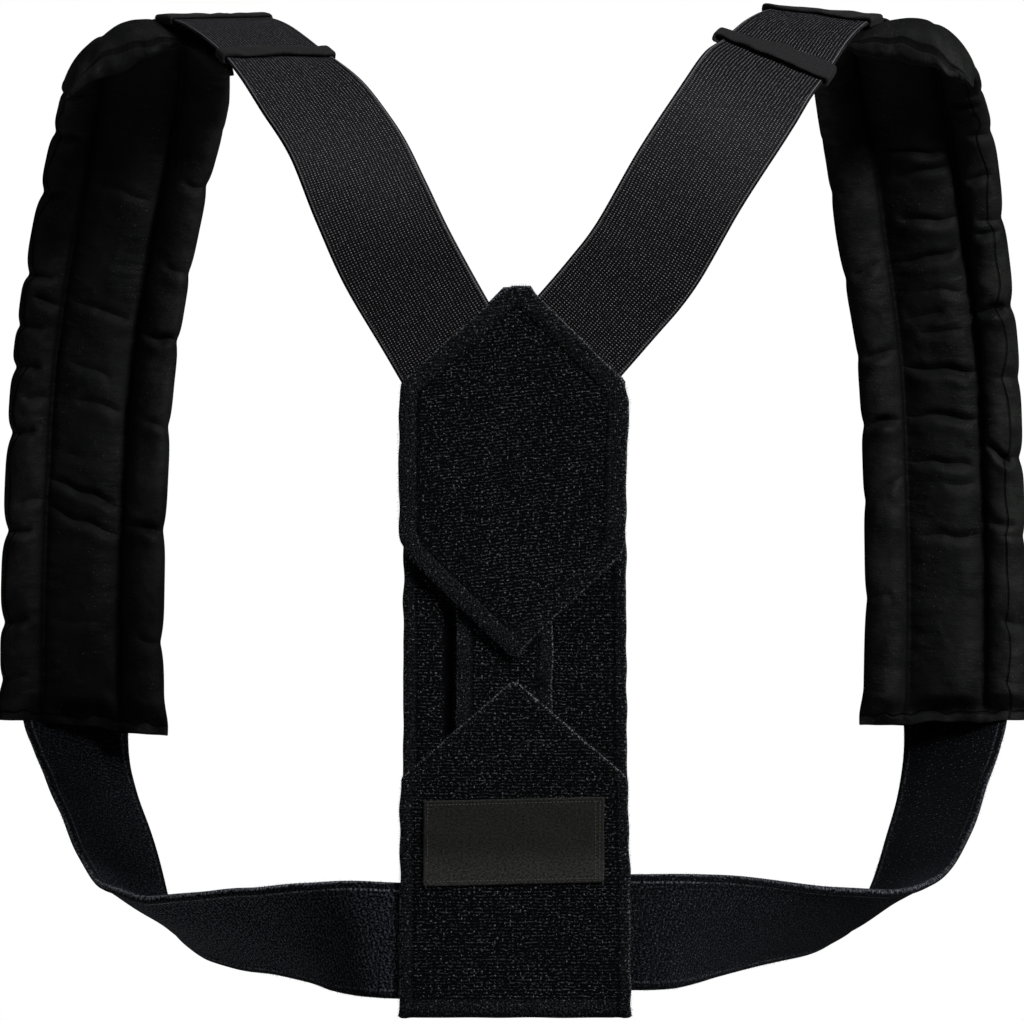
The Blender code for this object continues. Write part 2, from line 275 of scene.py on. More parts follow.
def cloth_object(
    name: str,
    points: np.ndarray,
    faces: np.ndarray,
    uv: np.ndarray,
    material: bpy.types.Material,
    extras: dict[str, np.ndarray],
) -> bpy.types.Object:
    """Make a smooth closed mesh with cloth coordinates.

    Args:
        name: The object's name.
        points: Points in millimetres.
        faces: Four points for each face.
        uv: Cloth coordinates in millimetres, for each corner of each face.
        material: The cloth.
        extras: Further values for each point, by attribute name.

    Returns:
        The object.
    """
    mesh = bpy.data.meshes.new(name)
    mesh.from_pydata((points * MM).tolist(), [], faces.tolist())
    layer = mesh.uv_layers.new(name=CLOTH_UV)
    layer.data.foreach_set("uv", (uv * MM).ravel())
    for key, values in extras.items():
        attribute = mesh.attributes.new(key, "FLOAT", "POINT")
        attribute.data.foreach_set("value", values.astype(np.float32))
    bm = bmesh.new()
    bm.from_mesh(mesh)
    bmesh.ops.recalc_face_normals(bm, faces=bm.faces)
    bm.to_mesh(mesh)
    bm.free()
    mesh.materials.append(material)
    mesh.shade_smooth()
    return link_object(name, mesh)


def shell_object(
    name: str,
    front: np.ndarray,
    back: np.ndarray,
    across: np.ndarray,
    along: np.ndarray,
    material: bpy.types.Material,
    extras: dict[str, Any] | None = None,
) -> bpy.types.Object:
    """Make a closed sheet from its two faces, which share their border.

    Args:
        name: The object's name.
        front: Rows and columns of points on one face, in millimetres.
        back: The same on the other face; its border is taken from the front.
        across: Each point's place across the cloth, in millimetres.
        along: Each point's place along the cloth, in millimetres.
        material: The cloth.
        extras: Further values for each point, by attribute name, or a pair for two faces.

    Returns:
        The object.
    """
    rows, columns = front.shape[:2]
    index_front = np.arange(rows * columns).reshape(rows, columns)
    index_back = index_front.copy()
    inner = (slice(1, rows - 1), slice(1, columns - 1))
    count = (rows - 2) * (columns - 2)
    index_back[inner] = rows * columns + np.arange(count).reshape(rows - 2, columns - 2)
    points = np.vstack((front.reshape(-1, 3), back[inner].reshape(-1, 3)))
    faces = []
    for index, flip in ((index_front, False), (index_back, True)):
        a, b = index[:-1, :-1], index[:-1, 1:]
        c, d = index[1:, 1:], index[1:, :-1]
        quads = (a, d, c, b) if flip else (a, b, c, d)
        faces.append(np.stack(quads, axis=-1).reshape(-1, 4))
    faces = np.vstack(faces)

    def both(values: Any) -> np.ndarray:
        first, second = values if isinstance(values, tuple) else (values, values)
        return np.concatenate((first.reshape(-1), second[inner].reshape(-1)))

    corners = faces.reshape(-1)
    uv = np.stack((both(across)[corners], both(along)[corners]), axis=1)
    extras = {key: both(values) for key, values in (extras or {}).items()}
    return cloth_object(name, points, faces, uv, material, extras)


def loop_object(
    name: str,
    rings: np.ndarray,
    around: np.ndarray,
    along: np.ndarray,
    material: bpy.types.Material,
) -> bpy.types.Object:
    """Make a closed band from rings that close on themselves both ways.

    Args:
        name: The object's name.
        rings: Points in millimetres, by place round the section and round the loop.
        around: Cloth coordinate of each point round the loop.
        along: Cloth coordinate of each point across the band.
        material: The cloth.

    Returns:
        The object.
    """
    sections, steps = rings.shape[:2]
    faces, corners = [], []
    for i in range(sections):
        for j in range(steps):
            k, m = (i + 1) % sections, (j + 1) % steps
            faces.append((i * steps + j, i * steps + m, k * steps + m, k * steps + j))
            turn = around.max() + (around.max() - around.min()) / (steps - 1)
            right = turn if m == 0 else around[m]
            low, high = along[i], along[k]
            corners += [(around[j], low), (right, low), (right, high), (around[j], high)]
    points = rings.reshape(-1, 3)
    return cloth_object(name, points, np.array(faces), np.array(corners), material, {})


def edge_distance(x: np.ndarray, y: np.ndarray, outline: np.ndarray) -> np.ndarray:
    """Distance from each point to a closed outline.

    Args:
        x: First coordinates of the points.
        y: Second coordinates of the points.
        outline: The outline's corners.

    Returns:
        The shortest distance to any side.
    """
    best = np.full(x.shape, 1e9)
    for (ax, ay), (bx, by) in zip(outline, np.roll(outline, -1, axis=0)):
        dx, dy = bx - ax, by - ay
        t = np.clip(((x - ax) * dx + (y - ay) * dy) / max(dx * dx + dy * dy, 1e-9), 0, 1)
        best = np.minimum(best, np.hypot(x - ax - t * dx, y - ay - t * dy))
    return best


def inset_line(outline: np.ndarray, distance: float) -> np.ndarray:
    """The outline moved inwards by a distance, side by side.

    Args:
        outline: Corners of a shape without hollows, in order.
        distance: How far its sides move in.

    Returns:
        The smaller shape's corners.
    """
    area = 0.5 * np.sum(
        outline[:, 0] * np.roll(outline[:, 1], -1) - np.roll(outline[:, 0], -1) * outline[:, 1]
    )
    sense = 1.0 if area > 0 else -1.0
    sides = []
    for a, b in zip(outline, np.roll(outline, -1, axis=0)):
        along = (b - a) / max(np.linalg.norm(b - a), 1e-9)
        inward = sense * np.array((-along[1], along[0]))
        sides.append((a + inward * distance, along))
    found = []
    for (p, d), (q, e) in zip([sides[-1], *sides[:-1]], sides):
        cross = d[0] * e[1] - d[1] * e[0]
        if abs(cross) < 1e-4:
            found.append(q)
        else:
            t = ((q[0] - p[0]) * e[1] - (q[1] - p[1]) * e[0]) / cross
            found.append(p + d * t)
    return np.array(found)


def divide(points: np.ndarray, step: float, closed: bool = False) -> np.ndarray:
    """Points spaced evenly along a line.

    Args:
        points: The line's corners.
        step: About how far apart.
        closed: Whether the line returns to its start.

    Returns:
        The spaced points.
    """
    line = np.vstack((points, points[:1])) if closed else points
    reach = np.concatenate(((0.0,), np.cumsum(np.linalg.norm(np.diff(line, axis=0), axis=1))))
    places = spaced(0.0, reach[-1], step)
    return np.stack([np.interp(places, reach, line[:, k]) for k in range(line.shape[1])], axis=1)


# Finishes: what each cloth is and how it was made


@dataclass(frozen=True)
class Field:
    """A number that varies over a cloth: an output socket that can be reckoned with."""

    tree: bpy.types.NodeTree
    socket: bpy.types.NodeSocket

    def math(self, operation: str, *values: Any) -> "Field":
        """Combine values with one Math operation."""
        inputs = {i: v.socket if isinstance(v, Field) else v for i, v in enumerate(values)}
        node = add_node(self.tree, "ShaderNodeMath", {"operation": operation}, inputs)
        return Field(self.tree, node.outputs[0])

    def __add__(self, other: Any) -> "Field":
        """The sum."""
        return self.math("ADD", self, other)

    def __sub__(self, other: Any) -> "Field":
        """The difference."""
        return self.math("SUBTRACT", self, other)

    def __rsub__(self, other: float) -> "Field":
        """What is left of a plain number."""
        return self.math("SUBTRACT", other, self)

    def __mul__(self, other: Any) -> "Field":
        """The product."""
        return self.math("MULTIPLY", self, other)

    def __pow__(self, other: float) -> "Field":
        """The power."""
        return self.math("POWER", self, other)

    def __abs__(self) -> "Field":
        """The size without its sign."""
        return self.math("ABSOLUTE", self)

    def or_more(self, other: Any) -> "Field":
        """The greater of the two."""
        return self.math("MAXIMUM", self, other)

    def wave(self, pitch_mm: float) -> "Field":
        """A sine from 0 to 1, one period to a pitch."""
        turns = self * (2 * math.pi / (pitch_mm * MM))
        return self.math("SINE", turns) * 0.5 + 0.5

    def between(self, low: float, high: float, to: tuple[float, float] = (0.0, 1.0)) -> "Field":
        """Map the range low to high smoothly onto another, clamped."""
        node = add_node(
            self.tree,
            "ShaderNodeMapRange",
            {"interpolation_type": "SMOOTHSTEP"},
            {0: self.socket, 1: low, 2: high, 3: to[0], 4: to[1]},
        )
        return Field(self.tree, node.outputs[0])


class Cloth:
    """A cloth shader in the making: its tree, cloth coordinates and colour."""

    def __init__(self, name: str, ground: str) -> None:
        """Start a material with one Principled BSDF, cloth coordinates and a ground colour."""
        self.material = bpy.data.materials.new(name)
        self.material.use_nodes = True
        self.tree = self.material.node_tree
        self.shader = self.tree.nodes["Principled BSDF"]
        self.place = add_node(self.tree, "ShaderNodeUVMap", {"uv_map": CLOTH_UV}).outputs[0]
        split = add_node(self.tree, "ShaderNodeSeparateXYZ", None, {0: self.place})
        self.across = Field(self.tree, split.outputs[0])
        self.along = Field(self.tree, split.outputs[1])
        self.colour: Any = ground

    def attribute(self, name: str) -> Field:
        """Read one of the piece's own values."""
        node = add_node(self.tree, "ShaderNodeAttribute", {"attribute_name": name})
        return Field(self.tree, node.outputs["Fac"])

    def noise(
        self,
        across_mm: float,
        along_mm: float,
        detail: float = 2.0,
        rough: float = 0.5,
        slant: float = 0.0,
    ) -> Field:
        """Smooth noise with features of a real size.

        Args:
            across_mm: A feature's size across the cloth.
            along_mm: Its size along the cloth.
            detail: Octaves of finer noise.
            rough: How strong they are.
            slant: Degrees by which the features are turned.

        Returns:
            The noise, mostly from 0.3 to 0.7.
        """
        mapped = add_node(
            self.tree,
            "ShaderNodeMapping",
            {"vector_type": "TEXTURE"},
            {
                "Vector": self.place,
                "Rotation": (0.0, 0.0, math.radians(slant)),
                "Scale": (across_mm * MM, along_mm * MM, 1.0),
            },
        )
        node = add_node(
            self.tree,
            "ShaderNodeTexNoise",
            {"noise_dimensions": "2D"},
            {"Vector": mapped.outputs[0], "Scale": 1.0, "Detail": detail, "Roughness": rough},
        )
        return Field(self.tree, node.outputs["Fac"])

    def slanted_rows(self, warp: Field, slant: float) -> Field:
        """The place along the cloth on rows that wander by a warp and slant by degrees."""
        return self.across * math.tan(math.radians(slant)) + (warp + self.along)

    def paint(self, share: Field, colour: str) -> None:
        """Lay a colour over what is there, by a share."""
        node = add_node(self.tree, "ShaderNodeMix", {"data_type": "RGBA"}, {0: share.socket})
        if isinstance(self.colour, str):
            node.inputs[6].default_value = linear(self.colour)
        else:
            self.tree.links.new(self.colour, node.inputs[6])
        node.inputs[7].default_value = linear(colour)
        self.colour = node.outputs[2]

    def finish(
        self,
        height: Field,
        relief_mm: float,
        roughness: float,
        specular: float,
        sheen: tuple[float, float, str] | None = None,
    ) -> bpy.types.Material:
        """Join the pattern to the shader.

        Args:
            height: The relief's height, about 0 to 1.
            relief_mm: How deep the relief is.
            roughness: How matt the cloth is.
            specular: How much its fibres reflect.
            sheen: Weight, roughness and tint of the light that stray fibres catch.

        Returns:
            The material.
        """
        bump = add_node(
            self.tree,
            "ShaderNodeBump",
            None,
            {"Strength": 1.0, "Distance": relief_mm * MM, "Height": height.socket},
        )
        self.tree.links.new(self.colour, self.shader.inputs["Base Color"])
        self.tree.links.new(bump.outputs[0], self.shader.inputs["Normal"])
        values = {"Roughness": roughness, "Specular IOR Level": specular}
        if sheen:
            values["Sheen Weight"], values["Sheen Roughness"] = sheen[:2]
            values["Sheen Tint"] = linear(sheen[2])
        for key, value in values.items():
            self.shader.inputs[key].default_value = value
        return self.material


@dataclass(frozen=True)
class LoopVelour:
    """Brushed loop fabric, raised in courses: near black, matt, with pale loop tips."""

    name: str = "brushed_loop_velour"
    ground: str = "#030404"
    loop_tip: str = "#4a4f54"
    fuzz: str = "#83898f"
    speck: str = "#7c8186"
    shadow: str = "#020203"
    course_mm: float = 1.45
    slant: float = 0.0

    def material(self) -> bpy.types.Material:
        """Courses 1.45 mm apart, broken into loops, with a plainer brushed border."""
        cloth = Cloth(self.name, self.ground)
        warp = cloth.noise(8.0, 5.0, 2.0, 0.6) * (1.1 * self.course_mm * MM)
        rows = cloth.slanted_rows(warp, self.slant)
        ridge = rows.wave(self.course_mm) ** 2.0
        pair = rows.wave(2 * self.course_mm) * 0.4 + 0.6
        loops = cloth.noise(1.35, 1.0, 1.0, 0.6, self.slant).between(0.47, 0.66, (0.03, 1.0))
        grain = cloth.noise(0.85, 0.8, 2.0, 0.7)
        brushed = grain.between(0.47, 0.68, (0.03, 0.7))
        groove = cloth.attribute(GROOVE)
        edge = groove.between(-0.3, 0.3, (1.0, 0.0)) * cloth.attribute(WORN)
        edge = edge.or_more(cloth.attribute(FOLD))
        tips = ridge * pair * loops * (1.0 - edge) + brushed * edge
        patch = cloth.noise(26.0, 22.0).between(0.3, 0.7, (0.7, 1.0))
        cloth.paint(tips * patch, self.loop_tip)
        # Loops cut and pulled at the border stand up pale
        rim = cloth.attribute(RIM).between(0.2, 1.0, (0.85, 0.0))
        cloth.paint(rim * grain.between(0.5, 0.64), self.fuzz)
        cloth.paint(cloth.noise(1.1, 0.9, 0.0).between(0.78, 0.84, (0.0, 0.7)), self.speck)
        # The stitched line is drawn into a furrow, darkened with painted shade
        furrow_shade = abs(groove).between(0.35, 1.15, (0.9, 0.0)) * cloth.attribute(TACK)
        cloth.paint(furrow_shade, self.shadow)
        # Painted shadow where the piece's shade attribute asks for it
        cloth.paint(cloth.attribute(SHADE), self.shadow)
        height = tips * 0.8 + grain * 0.35 - furrow_shade * 0.9
        return cloth.finish(height, 0.5, 0.92, 0.06, (0.03, 0.45, "#9aa0a6"))


@dataclass(frozen=True)
class StrapVelour:
    """Loop strap, knitted crosswise: blue-black, matt, with pale brushed arrises, a painted
    highlight on the outer one and painted light and shade along it.
    """

    name: str = "ribbed_loop_strap"
    ground: str = "#05060a"
    loop_tip: str = "#6a6f7c"
    fuzz: str = "#8b8e97"
    wall: str = "#040509"
    speck: str = "#70747c"
    rib_mm: float = 2.05
    slant: float = 20.0

    def material(self) -> bpy.types.Material:
        """Ribs 2.05 mm apart that slant across the strap, broken up by their pile."""
        cloth = Cloth(self.name, self.ground)
        warp = cloth.noise(5.0, 5.0, 2.0, 0.6) * (1.5 * self.rib_mm * MM)
        ribs = cloth.slanted_rows(warp, self.slant).wave(self.rib_mm) * 0.75 + 0.25
        grain = cloth.noise(0.95, 0.95, 2.0, 0.65)
        pile = grain.between(0.45, 0.62)
        # Painted light and shade: the loop tips are drawn brighter or darker along the strap, by
        # its table
        nap = cloth.attribute(PAINTED_LIGHT)
        cloth.paint(ribs * pile * nap, self.loop_tip)
        # Each edge shows as two pale brushed lines with the dark side wall between them
        rim = cloth.attribute(RIM)
        outer = rim.between(0.3, 1.0, (1.0, 0.0))
        second = abs(rim - 3.5).between(0.15, 0.75, (1.0, 0.0))
        cloth.paint(rim.between(2.9, 3.3, (0.6, 0.0)), self.wall)
        ragged = grain.between(0.42, 0.58) * (cloth.along.wave(1.9) * 0.6 + 0.4)
        # Painted highlight: the outer edge's pale lines are drawn brighter than the inner edge's
        painted_highlight_edge = cloth.across.between(-4.0 * MM, 4.0 * MM, (0.4, 1.0))
        cloth.paint(outer.or_more(second) * ragged * painted_highlight_edge * (nap + 0.35), self.fuzz)
        cloth.paint(cloth.noise(0.9, 0.9, 0.0).between(0.78, 0.85, (0.0, 0.5)), self.speck)
        height = ribs * 0.5 + pile * 0.45
        return cloth.finish(height, 0.45, 0.9, 0.08, (0.04, 0.45, "#9aa3b4"))


@dataclass(frozen=True)
class ElasticWebbing:
    """Woven rubber-core webbing: black, with a grid of small shiny picks."""

    name: str = "woven_elastic_webbing"
    ground: str = "#040405"
    pick: str = "#adadb5"
    selvedge: str = "#8c8c92"
    pick_mm: float = 1.1
    warp_mm: float = 1.45

    def material(self) -> bpy.types.Material:
        """Picks in rows 1.1 mm apart and columns 1.45 mm apart, as the real grid."""
        cloth = Cloth(self.name, self.ground)
        wobble = cloth.noise(9.0, 6.0, 1.0)
        along = wobble * (0.7 * self.pick_mm * MM) + cloth.along
        across = wobble * (0.4 * self.warp_mm * MM) + cloth.across
        picks = along.wave(self.pick_mm) ** 3.6
        warps = across.wave(self.warp_mm) ** 3.0
        uneven = cloth.noise(1.2, 1.0, 1.0, 0.6).between(0.34, 0.66, (0.22, 1.0))
        dots = picks * warps * uneven
        cloth.paint(dots, self.pick)
        # A closer-set edge thread runs 1.2 mm in from each edge
        rim = cloth.attribute(RIM)
        line = abs(rim - 1.2).between(0.12, 0.4, (0.9, 0.0)) * (picks * 0.7 + 0.3)
        cloth.paint(rim.between(1.6, 2.2, (0.7, 0.0)), self.ground)
        cloth.paint(line, self.selvedge)
        height = dots * 0.8 + line * 0.5
        return cloth.finish(height, 0.3, 0.6, 0.1, (0.01, 0.4, "#b4b8c0"))


@dataclass(frozen=True)
class PadCotton:
    """Close plain-woven cotton over soft filling: warm black with a dull gleam."""

    name: str = "plain_woven_cotton"
    ground: str = "#0a0c0b"
    worn: str = "#222422"
    lint: str = "#5a5a56"
    fold: str = "#020303"
    seam: str = "#010101"
    weave_mm: float = 0.7

    def material(self) -> bpy.types.Material:
        """A fine weave, drawn at 0.7 mm to show, rubbed patches, lint and sunk seams, with painted
        shade on the middle channel, in the creases and along the channel seams.
        """
        cloth = Cloth(self.name, self.ground)
        weave = cloth.across.wave(self.weave_mm) * cloth.along.wave(self.weave_mm)
        soft = cloth.noise(7.0, 4.0, 3.0, 0.6, 8.0)
        grain = cloth.noise(0.9, 0.7, 2.0, 0.7)
        patches = cloth.noise(24.0, 30.0).between(0.42, 0.62, (0.1, 1.0))
        gathers = cloth.noise(17.0, 6.0, 2.0, 0.5, 5.0) * patches
        height = weave * 0.06 + soft * 0.7 + grain * 0.14 + gathers * 1.8
        # Hair-fine crinkles wander across the channels, darkened with painted shade
        hair = abs(cloth.noise(24.0, 9.0, 2.0, 0.5, 4.0) - 0.5)
        hair = hair.between(0.0, 0.022, (1.0, 0.0)) * patches
        fold = abs(cloth.attribute(CREASE)).between(0.1, 1.0, (1.0, 0.0))
        crease_shade = hair * 0.1 + fold * cloth.attribute(CREASE_DEPTH)
        rubbed = grain * 0.5 + cloth.noise(16.0, 22.0, 3.0, 0.6) * 0.75
        # Painted light and shade: the middle channel is drawn darker and the outer ones greyer,
        # and the rubbed patches follow it
        channel_shade = abs(cloth.across).between(12.0 * MM, 30.0 * MM, (0.45, 1.25))
        cloth.paint(rubbed.between(0.35, 0.95) * channel_shade, self.worn)
        specks = cloth.noise(0.8, 0.8, 1.0).between(0.75, 0.81, (0.0, 0.8))
        cloth.paint(specks * patches, self.lint)
        # Painted shade in the creases and crinkles, which also sink in the relief
        cloth.paint(crease_shade * 0.8, self.fold)
        # Painted shade in the valley along each channel seam
        near = [
            abs(cloth.across - seam * MM).between(0.4 * MM, 2.6 * MM, (0.9, 0.0))
            for seam in CHANNEL_SEAMS
        ]
        past_lip = cloth.along.between(9.0 * MM, 20.0 * MM)
        cloth.paint(near[0].or_more(near[1]) * past_lip, self.seam)
        sewn = [
            abs(cloth.attribute(name)).between(0.2 * MM, 0.8 * MM, (0.9, 0.0))
            for name in (SIDE_SEAM, END_SEAM, HEM_SEAM)
        ]
        stitched = sewn[0].or_more(sewn[1]).or_more(sewn[2])
        cloth.paint(stitched, self.seam)
        height = height - crease_shade * 0.8 - stitched * 0.9
        return cloth.finish(height, 0.5, 0.65, 0.1, (0.02, 0.35, "#a4aaa6"))


@dataclass(frozen=True)
class BindingTape:
    """Plain cotton binding, folded: soft charcoal, slightly hairy."""

    name: str = "folded_cotton_binding"
    ground: str = "#0b0a0b"
    thread: str = "#2a292c"
    weave_mm: float = 0.8

    def material(self) -> bpy.types.Material:
        """Plain weave threads 0.8 mm apart, drawn coarse enough to show."""
        cloth = Cloth(self.name, self.ground)
        weave = cloth.across.wave(self.weave_mm) * cloth.along.wave(self.weave_mm)
        height = weave * 0.4 + cloth.noise(0.9, 0.6, 2.0, 0.7) * 0.7
        cloth.paint(height.between(0.2, 0.8), self.thread)
        return cloth.finish(height, 0.25, 0.8, 0.25, (0.06, 0.4, "#ffffff"))


@dataclass(frozen=True)
class SatinLabel:
    """Bare satin-woven label tape: smooth dark grey with a silky sheen."""

    name: str = "satin_woven_label"
    ground: str = "#060606"
    float_thread: str = "#484845"

    def material(self) -> bpy.types.Material:
        """Satin floats in a fine slanting rib, drawn at 0.9 mm, darker towards the top."""
        cloth = Cloth(self.name, self.ground)
        ribs = (cloth.along * 2.2 + cloth.across).wave(0.9)
        height = ribs * 0.3 + cloth.noise(1.1, 0.8, 2.0, 0.7) * 0.9
        # Darker towards the top, lighter towards the lower end
        worn = cloth.along.between(18.0 * MM, 34.0 * MM, (0.45, 1.0))
        cloth.paint(height.between(0.36, 0.84) * worn, self.float_thread)
        return cloth.finish(height, 0.15, 0.55, 0.2, (0.02, 0.5, "#ffffff"))


@dataclass(frozen=True)
class FineGrain:
    """Two near tones in a fine pattern: twisted thread, or matt paper."""

    name: str
    dark: tuple[float, ...]
    light: tuple[float, ...]
    roughness: float = 0.55
    specular: float = 0.25

    def material(self, kind: str, settings: dict[str, Any], values: dict[str, Any]) -> Any:
        """Mix the tones by a texture in the piece's own coordinates.

        Args:
            kind: Blender's name for the texture node.
            settings: The node's own properties.
            values: Its inputs.

        Returns:
            The material.
        """
        made = bpy.data.materials.new(self.name)
        made.use_nodes = True
        tree = made.node_tree
        place = add_node(tree, "ShaderNodeTexCoord").outputs["Object"]
        pattern = add_node(tree, kind, settings, {"Vector": place, **values})
        inputs = {0: pattern.outputs["Fac"], 6: self.dark, 7: self.light}
        mix = add_node(tree, "ShaderNodeMix", {"data_type": "RGBA"}, inputs)
        shader = tree.nodes["Principled BSDF"]
        tree.links.new(mix.outputs[2], shader.inputs["Base Color"])
        shader.inputs["Roughness"].default_value = self.roughness
        shader.inputs["Specular IOR Level"].default_value = self.specular
        return made


def thread(name: str, tone: str) -> bpy.types.Material:
    """Twisted polyester: one tone, darker between its fine slanting fibres."""
    light = linear(tone)
    dark = (*(0.6 * c for c in light[:3]), 1.0)
    settings, values = {"bands_direction": "DIAGONAL"}, {"Scale": 2600.0, "Distortion": 1.0}
    return FineGrain(name, dark, light).material("ShaderNodeTexWave", settings, values)


def studio_paper() -> bpy.types.Material:
    """Matt seamless paper: warm white, with a fibre grain too faint to be seen."""
    paper = FineGrain("matt_studio_paper", linear("#f4f3f1"), linear("#f8f7f5"), 0.95, 0.1)
    return paper.material("ShaderNodeTexNoise", {}, {"Scale": 400.0, "Detail": 2.0})


class Wardrobe:
    """Every finish of the corrector, each made once."""

    def __init__(self) -> None:
        """Make the materials."""
        self.velour = LoopVelour().material()
        self.velour_flap = LoopVelour("brushed_loop_velour_slanted", slant=7.0).material()
        self.strap = StrapVelour().material()
        self.elastic = ElasticWebbing().material()
        self.cotton = PadCotton().material()
        self.binding = BindingTape().material()
        self.label = SatinLabel().material()
        self.dark_thread = thread("black_polyester_thread", "#0e0f10")
        self.pale_thread = thread("grey_polyester_thread", "#62635f")
        self.lint = thread("cotton_lint", "#74746f")
        self.pile = thread("pulled_velour_loops", "#3c4045")


# Geometry Nodes: stitches, edge fuzz and lint


class NodeMaker:
    """A Geometry Nodes tree with named inputs, run on one object and then removed."""

    def __init__(self, name: str, sizes: dict[str, float]) -> None:
        """Start the tree.

        Args:
            name: The tree's name.
            sizes: Named number inputs with their usual values.
        """
        self.tree = bpy.data.node_groups.new(name, "GeometryNodeTree")
        face = self.tree.interface
        face.new_socket(name="Geometry", in_out="INPUT", socket_type="NodeSocketGeometry")
        self.sockets = {}
        for key, value in sizes.items():
            socket = face.new_socket(name=key, in_out="INPUT", socket_type="NodeSocketFloat")
            socket.default_value = value
            self.sockets[key] = socket.identifier
        seed = face.new_socket(name="Seed", in_out="INPUT", socket_type="NodeSocketInt")
        self.sockets["Seed"] = seed.identifier
        stuff = face.new_socket(
            name="Material", in_out="INPUT", socket_type="NodeSocketMaterial"
        )
        self.sockets["Material"] = stuff.identifier
        face.new_socket(name="Geometry", in_out="OUTPUT", socket_type="NodeSocketGeometry")
        self.start = add_node(self.tree, "NodeGroupInput")

    def value(self, name: str) -> bpy.types.NodeSocket:
        """The socket of a named input."""
        return self.start.outputs[name]

    def node(self, kind: str, settings: dict | None = None, inputs: dict | None = None) -> Any:
        """Add a node to this tree."""
        return add_node(self.tree, kind, settings, inputs)

    def along_edges(self) -> bpy.types.NodeSocket:
        """Points a pitch apart along the object's edges."""
        curve = self.node("GeometryNodeMeshToCurve", None, {0: self.value("Geometry")})
        inputs = {"Curve": curve.outputs[0], "Length": self.value("Pitch")}
        return self.node("GeometryNodeResampleCurve", {"mode": "LENGTH"}, inputs).outputs[0]

    def random(self, kind: str, low: Any, high: Any) -> bpy.types.NodeSocket:
        """A random number (FLOAT) or direction (FLOAT_VECTOR) for each point."""
        first = 2 if kind == "FLOAT" else 0
        inputs = {first: low, first + 1: high, "Seed": self.value("Seed")}
        made = self.node("FunctionNodeRandomValue", {"data_type": kind}, inputs)
        return made.outputs[first // 2]

    def cone(self, vertices: int, tip: float) -> bpy.types.NodeSocket:
        """A fibre of length and foot radius 1 that narrows to its tip."""
        inputs = {
            "Vertices": vertices,
            "Side Segments": 1,
            "Radius Top": tip,
            "Radius Bottom": 1.0,
            "Depth": 1.0,
        }
        return self.node("GeometryNodeMeshCone", None, inputs).outputs["Mesh"]

    def close(
        self,
        points: bpy.types.NodeSocket,
        shape: bpy.types.NodeSocket,
        aim: bpy.types.NodeSocket,
        spread: tuple[float, float],
        full: float = 1.0,
    ) -> None:
        """End the tree: set the shape on the points, real and in the material.

        Args:
            points: Where the shapes go.
            shape: A shape whose Z axis is its length.
            aim: Which way each one points.
            spread: Least and most length, as a share of the named one.
            full: The share of the named length that counts as 1.
        """
        turn = self.node("FunctionNodeAlignRotationToVector", {"axis": "Z"}, {"Vector": aim})
        times = {"operation": "MULTIPLY"}
        length = self.node("ShaderNodeMath", times, {0: self.value("Length"), 1: full})
        uneven = self.random("FLOAT", *spread)
        reach = self.node("ShaderNodeMath", times, {0: length.outputs[0], 1: uneven})
        radius = self.value("Radius")
        size = self.node("ShaderNodeCombineXYZ", None, {0: radius, 1: radius, 2: reach.outputs[0]})
        inputs = {
            "Points": points,
            "Instance": shape,
            "Rotation": turn.outputs[0],
            "Scale": size.outputs[0],
        }
        laid = self.node("GeometryNodeInstanceOnPoints", None, inputs)
        real = self.node("GeometryNodeRealizeInstances", None, {0: laid.outputs[0]})
        inputs = {"Geometry": real.outputs[0], "Material": self.value("Material")}
        dressed = self.node("GeometryNodeSetMaterial", None, inputs)
        self.node("NodeGroupOutput", None, {0: dressed.outputs[0]})

    def run(self, base: bpy.types.Object, name: str, values: dict[str, Any]) -> bpy.types.Object:
        """Run the tree on an object and keep the result as a plain mesh.

        Args:
            base: The object that carries the points or surface; it is removed.
            name: The new object's name.
            values: Inputs by name.

        Returns:
            The new object.
        """
        modifier = base.modifiers.new("Nodes", "NODES")
        modifier.node_group = self.tree
        for key, value in values.items():
            modifier[self.sockets[key]] = value
        view = bpy.context.evaluated_depsgraph_get()
        mesh = bpy.data.meshes.new_from_object(base.evaluated_get(view), depsgraph=view)
        mesh.name = name
        base.modifiers.remove(modifier)
        bpy.data.objects.remove(base, do_unlink=True)
        mesh.shade_smooth()
        return link_object(name, mesh)


def line_object(lines: Sequence[np.ndarray], leans: Sequence[np.ndarray] | None) -> Any:
    """Make an object of bare edges along lines.

    Args:
        lines: Points of each line in millimetres.
        leans: For each line, a direction at each point, or nothing.

    Returns:
        The object.
    """
    points, edges, directions = [], [], []
    for i, line in enumerate(lines):
        first = len(points)
        points += (np.asarray(line) * MM).tolist()
        edges += [(first + k, first + k + 1) for k in range(len(line) - 1)]
        directions += (leans[i] if leans else np.zeros_like(line)).tolist()
    mesh = bpy.data.meshes.new("lines")
    mesh.from_pydata(points, edges, [])
    attribute = mesh.attributes.new(LEAN, "FLOAT_VECTOR", "POINT")
    attribute.data.foreach_set("vector", np.array(directions, np.float32).ravel())
    return link_object("lines", mesh)


def stitch_maker() -> NodeMaker:
    """The tree that lays thread stitches end to end along an object of edges."""
    maker = NodeMaker("Stitches", {"Pitch": 0.0032, "Length": 0.0025, "Radius": 0.00022})
    bead = maker.node("GeometryNodeMeshUVSphere", None, {"Segments": 6, "Rings": 5, "Radius": 1.0})
    tangent = maker.node("GeometryNodeInputTangent").outputs[0]
    maker.close(maker.along_edges(), bead.outputs["Mesh"], tangent, (0.85, 1.1), 0.5)
    return maker


